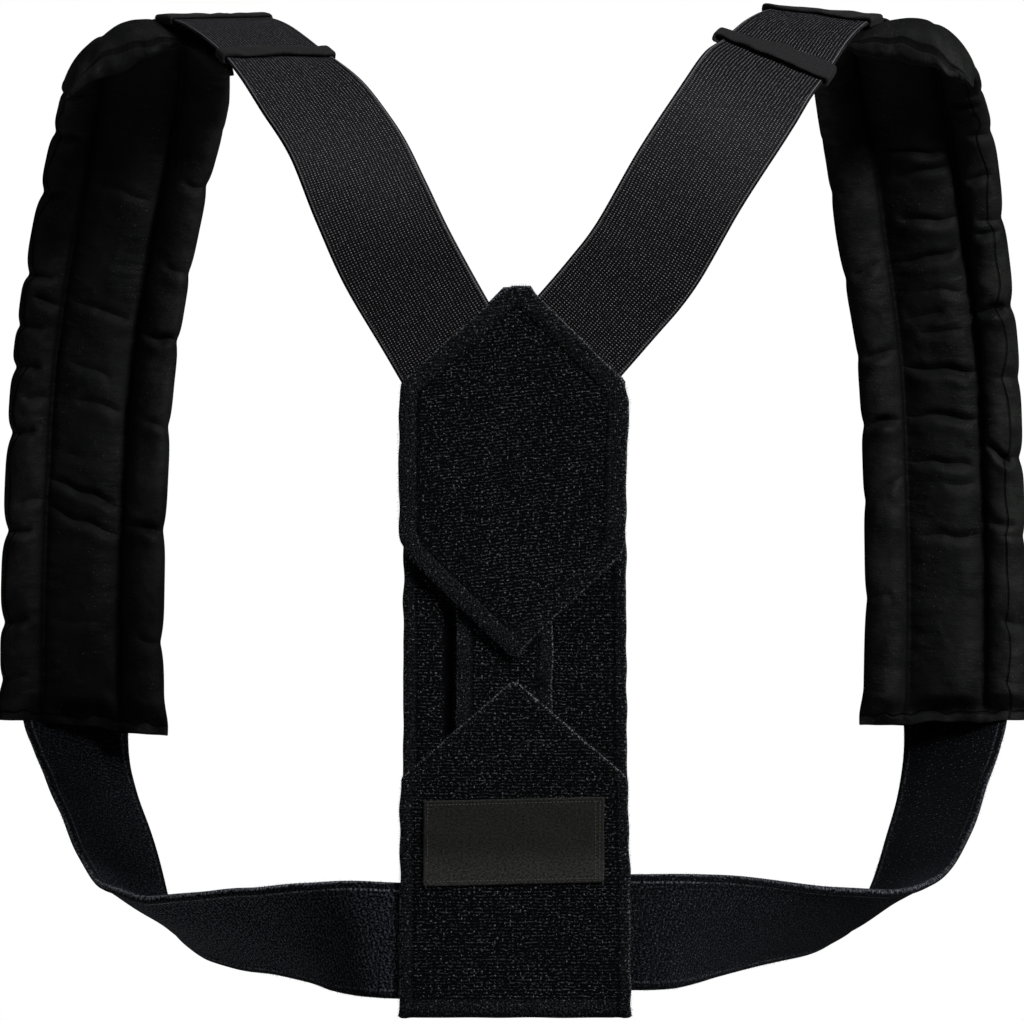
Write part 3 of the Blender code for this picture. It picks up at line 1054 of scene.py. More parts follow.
def fuzz_maker() -> NodeMaker:
    """The tree that stands pulled loops along edges, each leaning as its point says."""
    maker = NodeMaker("Fuzz", {"Pitch": 0.0006, "Length": 0.0009, "Radius": 0.00007})
    kind = {"data_type": "FLOAT_VECTOR"}
    lean = maker.node("GeometryNodeInputNamedAttribute", kind, {"Name": LEAN}).outputs[0]
    jitter = maker.random("FLOAT_VECTOR", (-0.9,) * 3, (0.9,) * 3)
    aim = maker.node("ShaderNodeVectorMath", {"operation": "ADD"}, {0: lean, 1: jitter})
    maker.close(maker.along_edges(), maker.cone(3, 0.35), aim.outputs[0], (0.35, 1.15))
    return maker


def lint_maker() -> NodeMaker:
    """The tree that drops short lint fibres flat on a surface."""
    maker = NodeMaker("Lint", {"Density": 2500.0, "Length": 0.0009, "Radius": 0.00009})
    points = maker.node(
        "GeometryNodeDistributePointsOnFaces",
        {"distribute_method": "RANDOM"},
        {
            "Mesh": maker.value("Geometry"),
            "Density": maker.value("Density"),
            "Seed": maker.value("Seed"),
        },
    )
    jitter = maker.random("FLOAT_VECTOR", (-1.0,) * 3, (1.0,) * 3)
    inputs = {0: points.outputs["Normal"], 1: jitter}
    flat = maker.node("ShaderNodeVectorMath", {"operation": "CROSS_PRODUCT"}, inputs)
    maker.close(points.outputs["Points"], maker.cone(4, 0.6), flat.outputs[0], (0.3, 1.2))
    return maker


@dataclass
class Trim:
    """Stitch lines and fuzzy edges that the pieces ask for, made together at the end."""

    dark: list[np.ndarray] = field(default_factory=list)
    pale: list[np.ndarray] = field(default_factory=list)
    edges: list[np.ndarray] = field(default_factory=list)
    leans: list[np.ndarray] = field(default_factory=list)
    pitch: float = 3.1
    stitch: float = 2.5
    thread: float = 0.24

    def sew(self, line: np.ndarray, pale: bool = False) -> None:
        """Ask for a line of stitches along points in millimetres."""
        (self.pale if pale else self.dark).append(np.asarray(line, float))

    def fringe(self, line: np.ndarray, lean: np.ndarray) -> None:
        """Ask for fuzz along points in millimetres, leaning in the given directions."""
        self.edges.append(np.asarray(line, float))
        self.leans.append(unit(np.asarray(lean, float)))

    def build(self, wardrobe: Wardrobe) -> None:
        """Make the thread and fuzz pieces."""
        maker = stitch_maker()
        for name, lines, material, seed, scale in (
            ("panel_stitching", self.dark, wardrobe.dark_thread, 3, 1.0),
            ("label_stitching", self.pale, wardrobe.pale_thread, 4, 0.5),
        ):
            if not lines:
                continue
            values = {
                "Pitch": scale * self.pitch * MM,
                "Length": 0.8 * scale * self.stitch * MM,
                "Radius": scale**0.5 * self.thread * MM,
                "Seed": seed,
                "Material": material,
            }
            made = maker.run(line_object(lines, None), name, values)
            finish_object(made)
        values = {"Pitch": 0.55 * MM, "Length": 1.0 * MM, "Radius": 0.075 * MM, "Seed": 5}
        values["Material"] = wardrobe.pile
        made = fuzz_maker().run(line_object(self.edges, self.leans), "velour_fuzz", values)
        finish_object(made)


# The back: panel, flaps, centre strip and label


def by_side(
    top: float, bottom: float, values: Sequence[float]
) -> Callable[[np.ndarray, np.ndarray], np.ndarray]:
    """Make a function that gives each border of a flap its own value.

    Args:
        top: Distance down the spine where the upper slanting borders end.
        bottom: Distance where the lower slanting borders start.
        values: Upper left, upper right, left, right, lower left and lower right.

    Returns:
        A function of the place across and the distance down.
    """

    def read(x: np.ndarray, s: np.ndarray) -> np.ndarray:
        right = smooth_step(x, -6.0, 6.0)
        upper = fall(s, top - 5.0, top + 5.0)
        lower = smooth_step(s, bottom - 5.0, bottom + 5.0)
        rows = [values[k] * (1 - right) + values[k + 1] * right for k in (0, 2, 4)]
        return upper * rows[0] + (1 - upper - lower) * rows[1] + lower * rows[2]

    return read


@dataclass
class Sheet:
    """A flat or folded sheet with a turned, stitched border.

    The spine is the sheet's middle line in Y and Z; rows give the left and right edge by
    the distance down the spine.
    """

    name: str
    node: str
    slot: str
    spine: Rows
    rows: Rows
    thick: float
    inset: float = 8.6
    hem: float = 0.25
    dip: float = 0.45
    wobble: float = 0.25
    step: float = 1.7
    seed: int = 1
    slope: float = 0.0
    lift: Callable[[np.ndarray, np.ndarray], np.ndarray] | None = None
    shade: Callable[[np.ndarray, np.ndarray], np.ndarray] | None = None
    tack: Callable[[np.ndarray, np.ndarray], np.ndarray] = by_side(0, 1, (0.7,) * 6)
    worn: Callable[[np.ndarray, np.ndarray], np.ndarray] = by_side(0, 1, (0.7,) * 6)
    fold: tuple[float, float] = (1e6, 1e6)

    def __post_init__(self) -> None:
        """Measure the spine and the outline."""
        self.line = np.array(self.spine, float)
        steps = np.linalg.norm(np.diff(self.line, axis=0), axis=1)
        self.reach = np.concatenate(((0.0,), np.cumsum(steps)))
        self.outline = self.corners()

    def place(self, x: np.ndarray, s: np.ndarray, w: np.ndarray | float) -> np.ndarray:
        """Points of the sheet in millimetres.

        Args:
            x: Place across.
            s: Distance down the spine.
            w: Height over the middle surface, towards the spine's left-hand side.

        Returns:
            The points, with X, Y and Z last.
        """
        y = np.interp(s, self.reach, self.line[:, 0])
        z = np.interp(s, self.reach, self.line[:, 1]) + self.slope * np.asarray(x)
        slopes = np.gradient(self.line, self.reach, axis=0)
        ty = np.interp(s, self.reach, slopes[:, 0])
        tz = np.interp(s, self.reach, slopes[:, 1])
        size = np.maximum(np.hypot(ty, tz), 1e-9)
        return np.stack((np.asarray(x) + 0 * y, y + w * tz / size, z - w * ty / size), axis=-1)

    def surface(self, x: np.ndarray, s: np.ndarray) -> np.ndarray:
        """Half the thickness at a place, with the border's roll and stitched dip."""
        d = edge_distance(x, s, self.outline)
        radius = 0.6 * self.thick
        roll = rounded(d / radius)
        half = self.thick / 2 * roll
        inside = smooth_step(d, 0.8, 2.2) * fall(d, self.inset - 1.5, self.inset)
        half = half + self.hem * inside
        half = half - self.dip * bell(d - self.inset, 0.9) * self.tack(x, s)
        return half + 0.12 * roll * ripple(x, s, 18.0, self.seed)

    def build(self, material: bpy.types.Material) -> None:
        """Args:
            material: Its cloth.
        """
        table = np.array(self.rows, float)
        top, bottom = table[0, 0], table[-1, 0]
        near = [0.0, 0.35, 0.9, 1.8]
        s = np.concatenate((near, spaced(3.2, bottom - top - 3.2, self.step)))
        s = np.unique(np.concatenate((s, (bottom - top) - np.array(near)))) + top
        left = np.interp(s, table[:, 0], table[:, 1])
        right = np.interp(s, table[:, 0], table[:, 2])
        left = left + self.wobble * ripple(s, 0 * s, 22.0, self.seed + 7)
        right = right + self.wobble * ripple(s, 0 * s, 22.0, self.seed + 8)
        width = float(np.max(right - left))
        t = np.concatenate((near, spaced(3.2, width - 3.2, self.step)))
        t = np.unique(np.concatenate((t, width - np.array(near)))) / width
        x = left[:, None] + (right - left)[:, None] * t[None]
        along = np.repeat(s[:, None], len(t), axis=1)
        self.outline = np.vstack((np.stack((left, s), 1), np.stack((right, s), 1)[::-1]))
        half = self.surface(x, along)
        rim = edge_distance(x, along, self.outline)
        rise = self.lift(x, along) if self.lift else 0.0
        shade = self.shade(x, along) if self.shade else np.zeros_like(x)
        dent = 1.5 * shade
        front = self.place(x, along, half + rise - dent)
        back = self.place(x, along, -half + rise)
        turned = smooth_step(along, self.fold[0] - 3.0, self.fold[0])
        turned = turned * fall(along, self.fold[1], self.fold[1] + 3.0)
        extras = {
            RIM: rim,
            SHADE: shade,
            GROOVE: rim - self.inset,
            TACK: self.tack(x, along),
            WORN: self.worn(x, along),
            FOLD: turned,
        }
        made = shell_object(self.name, front, back, x, along, material, extras)
        finish_object(made, self.node)
        area = float(np.sum((right - left)[:-1] * np.diff(s))) * MM * MM

    def border(self, inset: float, w: float, step: float = 2.0) -> np.ndarray:
        """A closed line inside the outline, laid on the face at height w."""
        line = divide(inset_line(self.corners(), inset), step, closed=True)
        rise = self.lift(line[:, 0], line[:, 1]) if self.lift else 0.0
        return self.place(line[:, 0], line[:, 1], w + rise)

    def corners(self) -> np.ndarray:
        """The outline's corners from the rows, without the wobble."""
        table = np.array(self.rows, float)
        left = np.stack((table[:, 1], table[:, 0]), 1)
        right = np.stack((table[:, 2], table[:, 0]), 1)[::-1]
        return np.vstack((left, right))


@dataclass
class BackPanel:
    """The folded panel with its upper flap, centre strip and bare label."""

    panel_y: float = -92.0
    lower_flap_y: float = -96.6
    upper_flap_y: float = -96.0
    strip_y: float = -94.0
    label_y: float = -98.3
    tip_z: float = -113.0
    shoulder_z: float = -153.0
    fold_z: float = -427.4
    flap_shoulder_z: float = -324.0
    flap_tip_z: float = -283.0
    thick: float = 2.0

    def spine(self) -> list[tuple[float, float]]:
        """Y and Z down the panel, round the bottom fold and up the lower flap."""
        radius = (self.panel_y - self.lower_flap_y) / 2
        centre_y = (self.panel_y + self.lower_flap_y) / 2
        centre_z = self.fold_z + self.thick / 2 + radius
        found = [(self.panel_y, z) for z in spaced(self.tip_z, centre_z, 4.0)]
        for angle in np.linspace(0, math.pi, 13)[1:-1]:
            y = centre_y + radius * math.cos(angle)
            found.append((y, centre_z - radius * math.sin(angle)))
        found += [(self.lower_flap_y, z) for z in spaced(centre_z, self.flap_tip_z, 4.0)]
        return found

    def build(self, wardrobe: Wardrobe, trim: Trim) -> None:
        """Make the four layers of the back and ask for their stitches.

        Args:
            wardrobe: The finishes.
            trim: Where stitches and fuzz are collected.
        """
        radius = (self.panel_y - self.lower_flap_y) / 2
        centre_z = self.fold_z + self.thick / 2 + radius
        down = self.tip_z - centre_z
        turn = math.pi * radius
        shoulder = self.tip_z - self.shoulder_z
        up_shoulder = down + turn + (self.flap_shoulder_z - centre_z)
        up_tip = down + turn + (self.flap_tip_z - centre_z)
        slot_top, slot_end = self.tip_z + 247.0, self.tip_z + 306.0

        # Painted shadow to the left of the centre strip, where the panel is also dented
        def slot(x: np.ndarray, s: np.ndarray) -> np.ndarray:
            inside = smooth_step(x, -31.0, -29.8) * fall(x, -26.0, -25.2)
            inside = inside * smooth_step(s, slot_top, slot_top + 6)
            return inside * fall(s, slot_end, slot_end + 5)

        panel = Sheet(
            "back_panel_velour",
            "back_panel",
            "loop_velour",
            self.spine(),
            (
                (0.0, -4.5, 1.5),
                (6.0, -10.5, 7.0),
                (shoulder, -47.5, 48.0),
                (down - 4.0, -48.0, 49.0),
                (down - 1.0, -49.3, 50.2),
                (down + turn / 2, -49.8, 50.6),
                (down + turn + 1.0, -49.3, 50.2),
                (down + turn + 60.0, -49.0, 49.8),
                (up_shoulder - 14.0, -49.3, 49.0),
                (up_shoulder, -48.4, 49.0),
                (up_tip, -1.6, 1.6),
            ),
            self.thick,
            inset=5.6,
            seed=Seed.PANEL,
            shade=slot,
            tack=by_side(shoulder, up_shoulder, (0.3, 0.3, 0.55, 0.7, 0.05, 0.05)),
            worn=by_side(shoulder, up_shoulder, (0.3, 0.3, 0.45, 0.35, 0.1, 0.05)),
            fold=(down + turn - 1.0, down + turn + 2.5),
        )
        panel.build(wardrobe.velour)
        flap_top = -112.6
        upper = Sheet(
            "upper_flap_velour",
            "upper_flap",
            "loop_velour",
            [(self.upper_flap_y, z) for z in (flap_top, -190.0, -271.8)],
            tuple(
                (flap_top - z, left, right)
                for z, left, right in (
                    (-112.6, -0.9, 7.0),
                    (-116.5, -7.0, 9.5),
                    (-152.0, -46.5, 46.4),
                    (-155.0, -48.6, 47.6),
                    (-158.4, -49.0, 48.6),
                    (-162.0, -49.2, 49.8),
                    (-176.0, -49.6, 49.0),
                    (-193.0, -49.7, 48.1),
                    (-213.0, -49.6, 47.8),
                    (-222.0, -49.0, 47.8),
                    (-229.0, -45.9, 46.0),
                    (-262.0, -12.0, 10.0),
                    (-268.0, -5.0, 4.6),
                    (-271.8, -1.5, 2.2),
                )
            ),
            self.thick,
            seed=Seed.UPPER_FLAP,
            lift=lambda x, s: 0.9 * smooth_step(s, 105.0, 150.0),
            tack=by_side(42.0, 113.0, (0.3, 0.9, 1.0, 0.6, 1.0, 0.1)),
            worn=by_side(42.0, 113.0, (0.35, 0.3, 0.9, 0.45, 0.85, 0.1)),
        )
        upper.build(wardrobe.velour_flap)
        strip = Sheet(
            "centre_strip_velour",
            "centre_strip",
            "loop_velour",
            [(self.strip_y, -180.0), (self.strip_y, -350.0)],
            ((0.0, -25.0, 16.7), (170.0, -25.0, 16.7)),
            1.4,
            inset=6.8,
            hem=0.1,
            dip=0.3,
            seed=Seed.STRIP,
            # Painted shadow by the lower flap's tip
            shade=lambda x, s: 0.6 * bell(x - 10.8, 2.4) * bell(s - 105.0, 3.0),
        )
        strip.build(wardrobe.velour)
        label = Sheet(
            "satin_label",
            "label_patch",
            "woven_label",
            [(self.label_y, -333.0), (self.label_y, -370.0)],
            ((0.0, -38.9, 38.6), (1.0, -39.0, 38.8), (35.8, -39.2, 38.6), (36.8, -38.9, 38.2)),
            0.8,
            inset=1.9,
            hem=0.0,
            dip=0.15,
            wobble=0.12,
            step=1.4,
            seed=Seed.LABEL,
            slope=0.024,
        )
        label.build(wardrobe.label)
        self.sew(panel, upper, strip, label, trim, up_shoulder, up_tip)

    def sew(
        self,
        panel: Sheet,
        upper: Sheet,
        strip: Sheet,
        label: Sheet,
        trim: Trim,
        up_shoulder: float,
        up_tip: float,
    ) -> None:
        """Lay the stitch lines and ragged edges of the back.

        Args:
            panel: The folded panel.
            upper: The upper flap.
            strip: The centre strip.
            label: The label.
            trim: Where they are collected.
            up_shoulder: Distance down the panel's spine to the lower flap's shoulder.
            up_tip: Distance to its tip.
        """
        on_top = 0.62
        for w in (on_top, -on_top):
            trim.sew(panel.border(5.6, w))
        trim.sew(upper.border(8.6, on_top))
        line = spaced(4.0, 166.0, 2.0)
        for x in (-18.2, 9.9):
            trim.sew(strip.place(0 * line + x, line, 0.5))
        trim.sew(label.border(1.9, 0.34), pale=True)
        side = spaced(2.5, 34.0, 2.0)
        trim.sew(label.place(0 * side + 35.0, side, 0.4), pale=True)
        for sheet, w in ((upper, 0.3), (panel, -0.3)):
            edge = divide(sheet.corners(), 2.0, closed=True)
            middle = edge.mean(axis=0)
            if sheet is panel:
                edge = edge[edge[:, 1] > up_shoulder - 110.0]
                middle = np.array((0.0, up_tip - 60.0))
            away = edge - middle
            lean = np.stack((away[:, 0], 0 * away[:, 0] - 25.0, -away[:, 1]), 1)
            if sheet is panel:
                lean[:, 2] *= -1
            for part, tilt in self.runs(edge, lean):
                trim.fringe(sheet.place(part[:, 0], part[:, 1], w), tilt)

    def runs(self, edge: np.ndarray, lean: np.ndarray) -> list[tuple[np.ndarray, np.ndarray]]:
        """Split an edge where it jumps, so that no line crosses the sheet."""
        gaps = np.where(np.linalg.norm(np.diff(edge, axis=0), axis=1) > 6.0)[0] + 1
        pairs = zip(np.split(edge, gaps), np.split(lean, gaps))
        return [(part, tilt) for part, tilt in pairs if len(part) > 2]


# Straps


@dataclass
class StrapPath:
    """The middle line of a strap or pad, and which way its width and face point.

    Rows are x, y, z, turn, tilt, and for a pad droop; turn and tilt point to the outer edge.
    """

    rows: Rows
    side: Side
    steps: int = 16

    def __post_init__(self) -> None:
        """Read the curve."""
        found = curve_through(self.rows, self.steps)
        turn, tilt = np.radians(found[:, 3]), np.radians(found[:, 4])
        self.middle = found[:, :3]
        self.droop = found[:, 5] if found.shape[1] > 5 else np.zeros(len(found))
        forward = unit(np.gradient(self.middle, axis=0))
        level = np.cos(tilt)
        across = np.stack((level * np.cos(turn), level * np.sin(turn), np.sin(tilt)), axis=1)
        across -= forward * (across * forward).sum(axis=1, keepdims=True)
        self.across = unit(across)
        self.outward = self.side.value * np.cross(self.across, forward)
        spans = np.linalg.norm(np.diff(self.middle, axis=0), axis=1)
        self.reach = np.concatenate(((0.0,), np.cumsum(spans)))

    @property
    def length(self) -> float:
        """The path's length."""
        return float(self.reach[-1])

    def at(self, s: np.ndarray) -> tuple[np.ndarray, np.ndarray, np.ndarray]:
        """Middle, across and outward at distances along the path."""
        found = []
        for values in (self.middle, self.across, self.outward):
            read = [np.interp(s, self.reach, values[:, k]) for k in range(3)]
            found.append(np.stack(read, axis=-1))
        return found[0], unit(found[1]), unit(found[2])


def ribbon(
    path: StrapPath,
    width: float,
    half: Callable[[np.ndarray, np.ndarray], np.ndarray],
    wave: Callable[[np.ndarray, np.ndarray], np.ndarray],
    step: float,
    columns: int,
    extra: Callable[[np.ndarray], np.ndarray] = np.zeros_like,
) -> tuple[np.ndarray, np.ndarray, np.ndarray, np.ndarray, np.ndarray]:
    """Points of a strap's two faces.

    Args:
        path: Its middle line.
        width: Its width.
        half: Half its thickness by distance from an edge and distance along.
        wave: How far it leaves its path outwards, by place across and along.
        step: Distance between rows.
        columns: Points across.
        extra: How much farther its outer edge reaches, by distance along.

    Returns:
        Outer face, inner face, place across, place along and distance from the edge.
    """
    ends = np.array((0.0, 0.4, 1.0))
    s = np.concatenate((ends, spaced(2.2, path.length - 2.2, step), path.length - ends[::-1]))
    t = -np.cos(np.linspace(0, math.pi, columns))
    t = 0.45 * t + 0.55 * np.linspace(-1, 1, columns)
    u = (t * width / 2)[None] + 0.5 * (t + 1)[None] * extra(s)[:, None]
    along = np.repeat(s[:, None], columns, axis=1)
    side = np.repeat((width / 2 * (1 - np.abs(t)))[None], len(s), axis=0)
    rim = np.minimum(side, np.minimum(along, path.length - along))
    middle, across, outward = path.at(s)
    base = middle[:, None] + across[:, None] * u[..., None]
    base = base + outward[:, None] * wave(u, along)[..., None]
    thick = half(rim, along)[..., None]
    outer = base + outward[:, None] * thick
    inner = base - outward[:, None] * thick
    return outer, inner, u, along, rim


@dataclass
class ElasticStrap:
    """An upper strap of woven elastic, from the panel over the shoulder."""

    side: Side
    path: StrapPath
    width: float = 50.0
    thick: float = 1.4

    def build(self, wardrobe: Wardrobe) -> None:
        """Make the strap with thin woven edges."""

        def half(rim: np.ndarray, along: np.ndarray) -> np.ndarray:
            roll = rounded(rim / 0.8)
            bead = 0.12 * bell(rim - 1.5, 0.5) - 0.1 * bell(rim - 2.6, 0.5)
            return self.thick / 2 * roll + bead * roll

        def wave(u: np.ndarray, along: np.ndarray) -> np.ndarray:
            free = smooth_step(along, 45.0, 80.0) * fall(along, 150.0, 175.0)
            return free * 0.35 * ripple(u, along, 55.0, Seed.ELASTIC + self.side.value)

        def extra(along: np.ndarray) -> np.ndarray:
            return 1.2 * smooth_step(along, 20.0, 60.0) * fall(along, 140.0, 172.0)

        outer, inner, u, along, rim = ribbon(self.path, self.width, half, wave, 2.2, 34, extra)
        name = f"elastic_webbing_{self.side.label}"
        made = shell_object(name, outer, inner, u, along, wardrobe.elastic, {RIM: rim})
        finish_object(made, f"elastic_strap_{self.side.label}")
        self.width * MM


@dataclass
class LowerStrap:
    """A loop strap from the pad's lower end, under the arm, to the back panel."""

    side: Side
    path: StrapPath
    nap: Rows
    width: float = 50.0
    thick: float = 2.0
    edge_rise: float = 0.8

    def build(self, wardrobe: Wardrobe, trim: Trim) -> None:
        """Make the strap with thick rolled edges where it hangs free.

        Args:
            wardrobe: The finishes.
            trim: Where fuzz is collected.
        """
        length = self.path.length

        def free(along: np.ndarray) -> np.ndarray:
            return smooth_step(along, 62.0, 84.0) * fall(along, length - 84, length - 60)

        def half(rim: np.ndarray, along: np.ndarray) -> np.ndarray:
            roll = rounded(rim / 1.3)
            bead = self.edge_rise * bell(rim - 2.2, 1.7) * free(along)
            return (self.thick / 2 + bead) * roll

        def wave(u: np.ndarray, along: np.ndarray) -> np.ndarray:
            relief = ripple(u, along, 48.0, Seed.LOWER_STRAP + self.side.value)
            return free(along) * 0.7 * relief

        outer, inner, u, along, rim = ribbon(self.path, self.width, half, wave, 2.2, 36)
        name = f"lower_strap_velour_{self.side.label}"
        # Painted light and shade along the strap, read from its table
        nap = read_table(along / length, self.nap)
        extras = {RIM: rim, PAINTED_LIGHT: nap}
        made = shell_object(name, outer, inner, u, along, wardrobe.strap, extras)
        finish_object(made, f"lower_strap_{self.side.label}")
        self.width * MM
        middle, across, outward = self.path.at(spaced(55.0, length - 50.0, 2.0))
        for sign in (-1, 1):
            edge = middle + across * sign * (self.width / 2 - 0.3)
            trim.fringe(edge, across * sign + 0.5 * outward)


@dataclass
class Keeper:
    """A folded binding loop round an elastic strap, soft and a little crumpled.

    Shift moves parts of the band along the strap: rows of place across and distance.
    """

    name: str
    node: str
    path: StrapPath
    start: float
    end: float
    proud: float
    shift: Rows
    bulge: tuple[float, float] = (0.0, 0.0)
    inner_half: float = 25.4
    inner_rise: float = 0.74
    outer_rise: float = 2.3
    points: int = 110

    def ring(self, depth: float) -> np.ndarray:
        """Offsets across and outwards round a rounded rectangle, at a depth from 0 to 1."""
        wall = (self.outer_rise - self.inner_rise) * depth
        half = self.inner_half + wall
        below = self.inner_rise + 0.8 * wall
        above = self.inner_rise + wall
        corner = 0.7 * min(below, above)
        found = []
        for cx, cy, first in (
            (half - corner, above - corner, 0.0),
            (-half + corner, above - corner, 0.5),
            (-half + corner, -below + corner, 1.0),
            (half - corner, -below + corner, 1.5),
        ):
            for angle in np.linspace(first, first + 0.5, 6) * math.pi:
                found.append((cx + corner * math.cos(angle), cy + corner * math.sin(angle)))
        line = divide(np.array(found), 0.5, closed=True)[:-1]
        pick = np.linspace(0, len(line), self.points, endpoint=False).astype(int)
        return line[pick]

    def build(self, wardrobe: Wardrobe) -> None:
        """Make the loop with a soft folded edge along each side."""
        middle_s = (self.start + self.end) / 2
        half_band = (self.end - self.start) / 2
        table = np.array(self.shift, float)
        seed = len(self.name)
        rings, places = [], []
        for angle in np.linspace(0, 2 * math.pi, 16, endpoint=False):
            side, face = math.cos(angle), math.sin(angle)
            reach = math.copysign(abs(side) ** 0.35, side) * half_band
            depth = 0.5 + 0.5 * math.copysign(abs(face) ** 0.6, face)
            ring = self.ring(depth)
            u, w = ring[:, 0], ring[:, 1]
            top = w > 0
            u = u - self.bulge[0] * smooth_step(-u, 17.0, 26.0)
            u = u + self.bulge[1] * smooth_step(u, 17.0, 26.0)
            uneven = 1 + 0.16 * ripple(u, 0 * u, 15.0, seed) * top
            s = middle_s + reach * uneven + 0.6 * ripple(u, 0 * u, 21.0, seed + 1) * top
            s = s + np.interp(u, table[:, 0], table[:, 1])
            arch = self.proud * (1 - (u / (self.inner_half + 4)) ** 2)
            lift = top * (arch + 0.35 * (1 + ripple(u, s, 13.0, seed + 2)) * depth)
            middle, across, outward = self.path.at(s)
            rings.append(middle + across * u[:, None] + outward * (w + lift)[:, None])
            places.append(reach)
        around = np.linspace(0, 4 * self.inner_half, self.points)
        made = loop_object(
            self.name, np.array(rings), around, np.array(places), wardrobe.binding
        )
        finish_object(made, self.node)


# Pads

# How the pads' cotton behaves while its filling pushes it out
COTTON_CLOTH = {
    "quality": 6,
    "mass": 0.15,
    "tension_stiffness": 25,
    "compression_stiffness": 25,
    "shear_stiffness": 8,
    "bending_stiffness": 0.08,
    "air_damping": 2,
    "use_pressure": True,
    "uniform_pressure_force": 4.0,
    "pin_stiffness": 5,
    "shrink_min": 0.0,
    "shrink_max": -0.11,
}


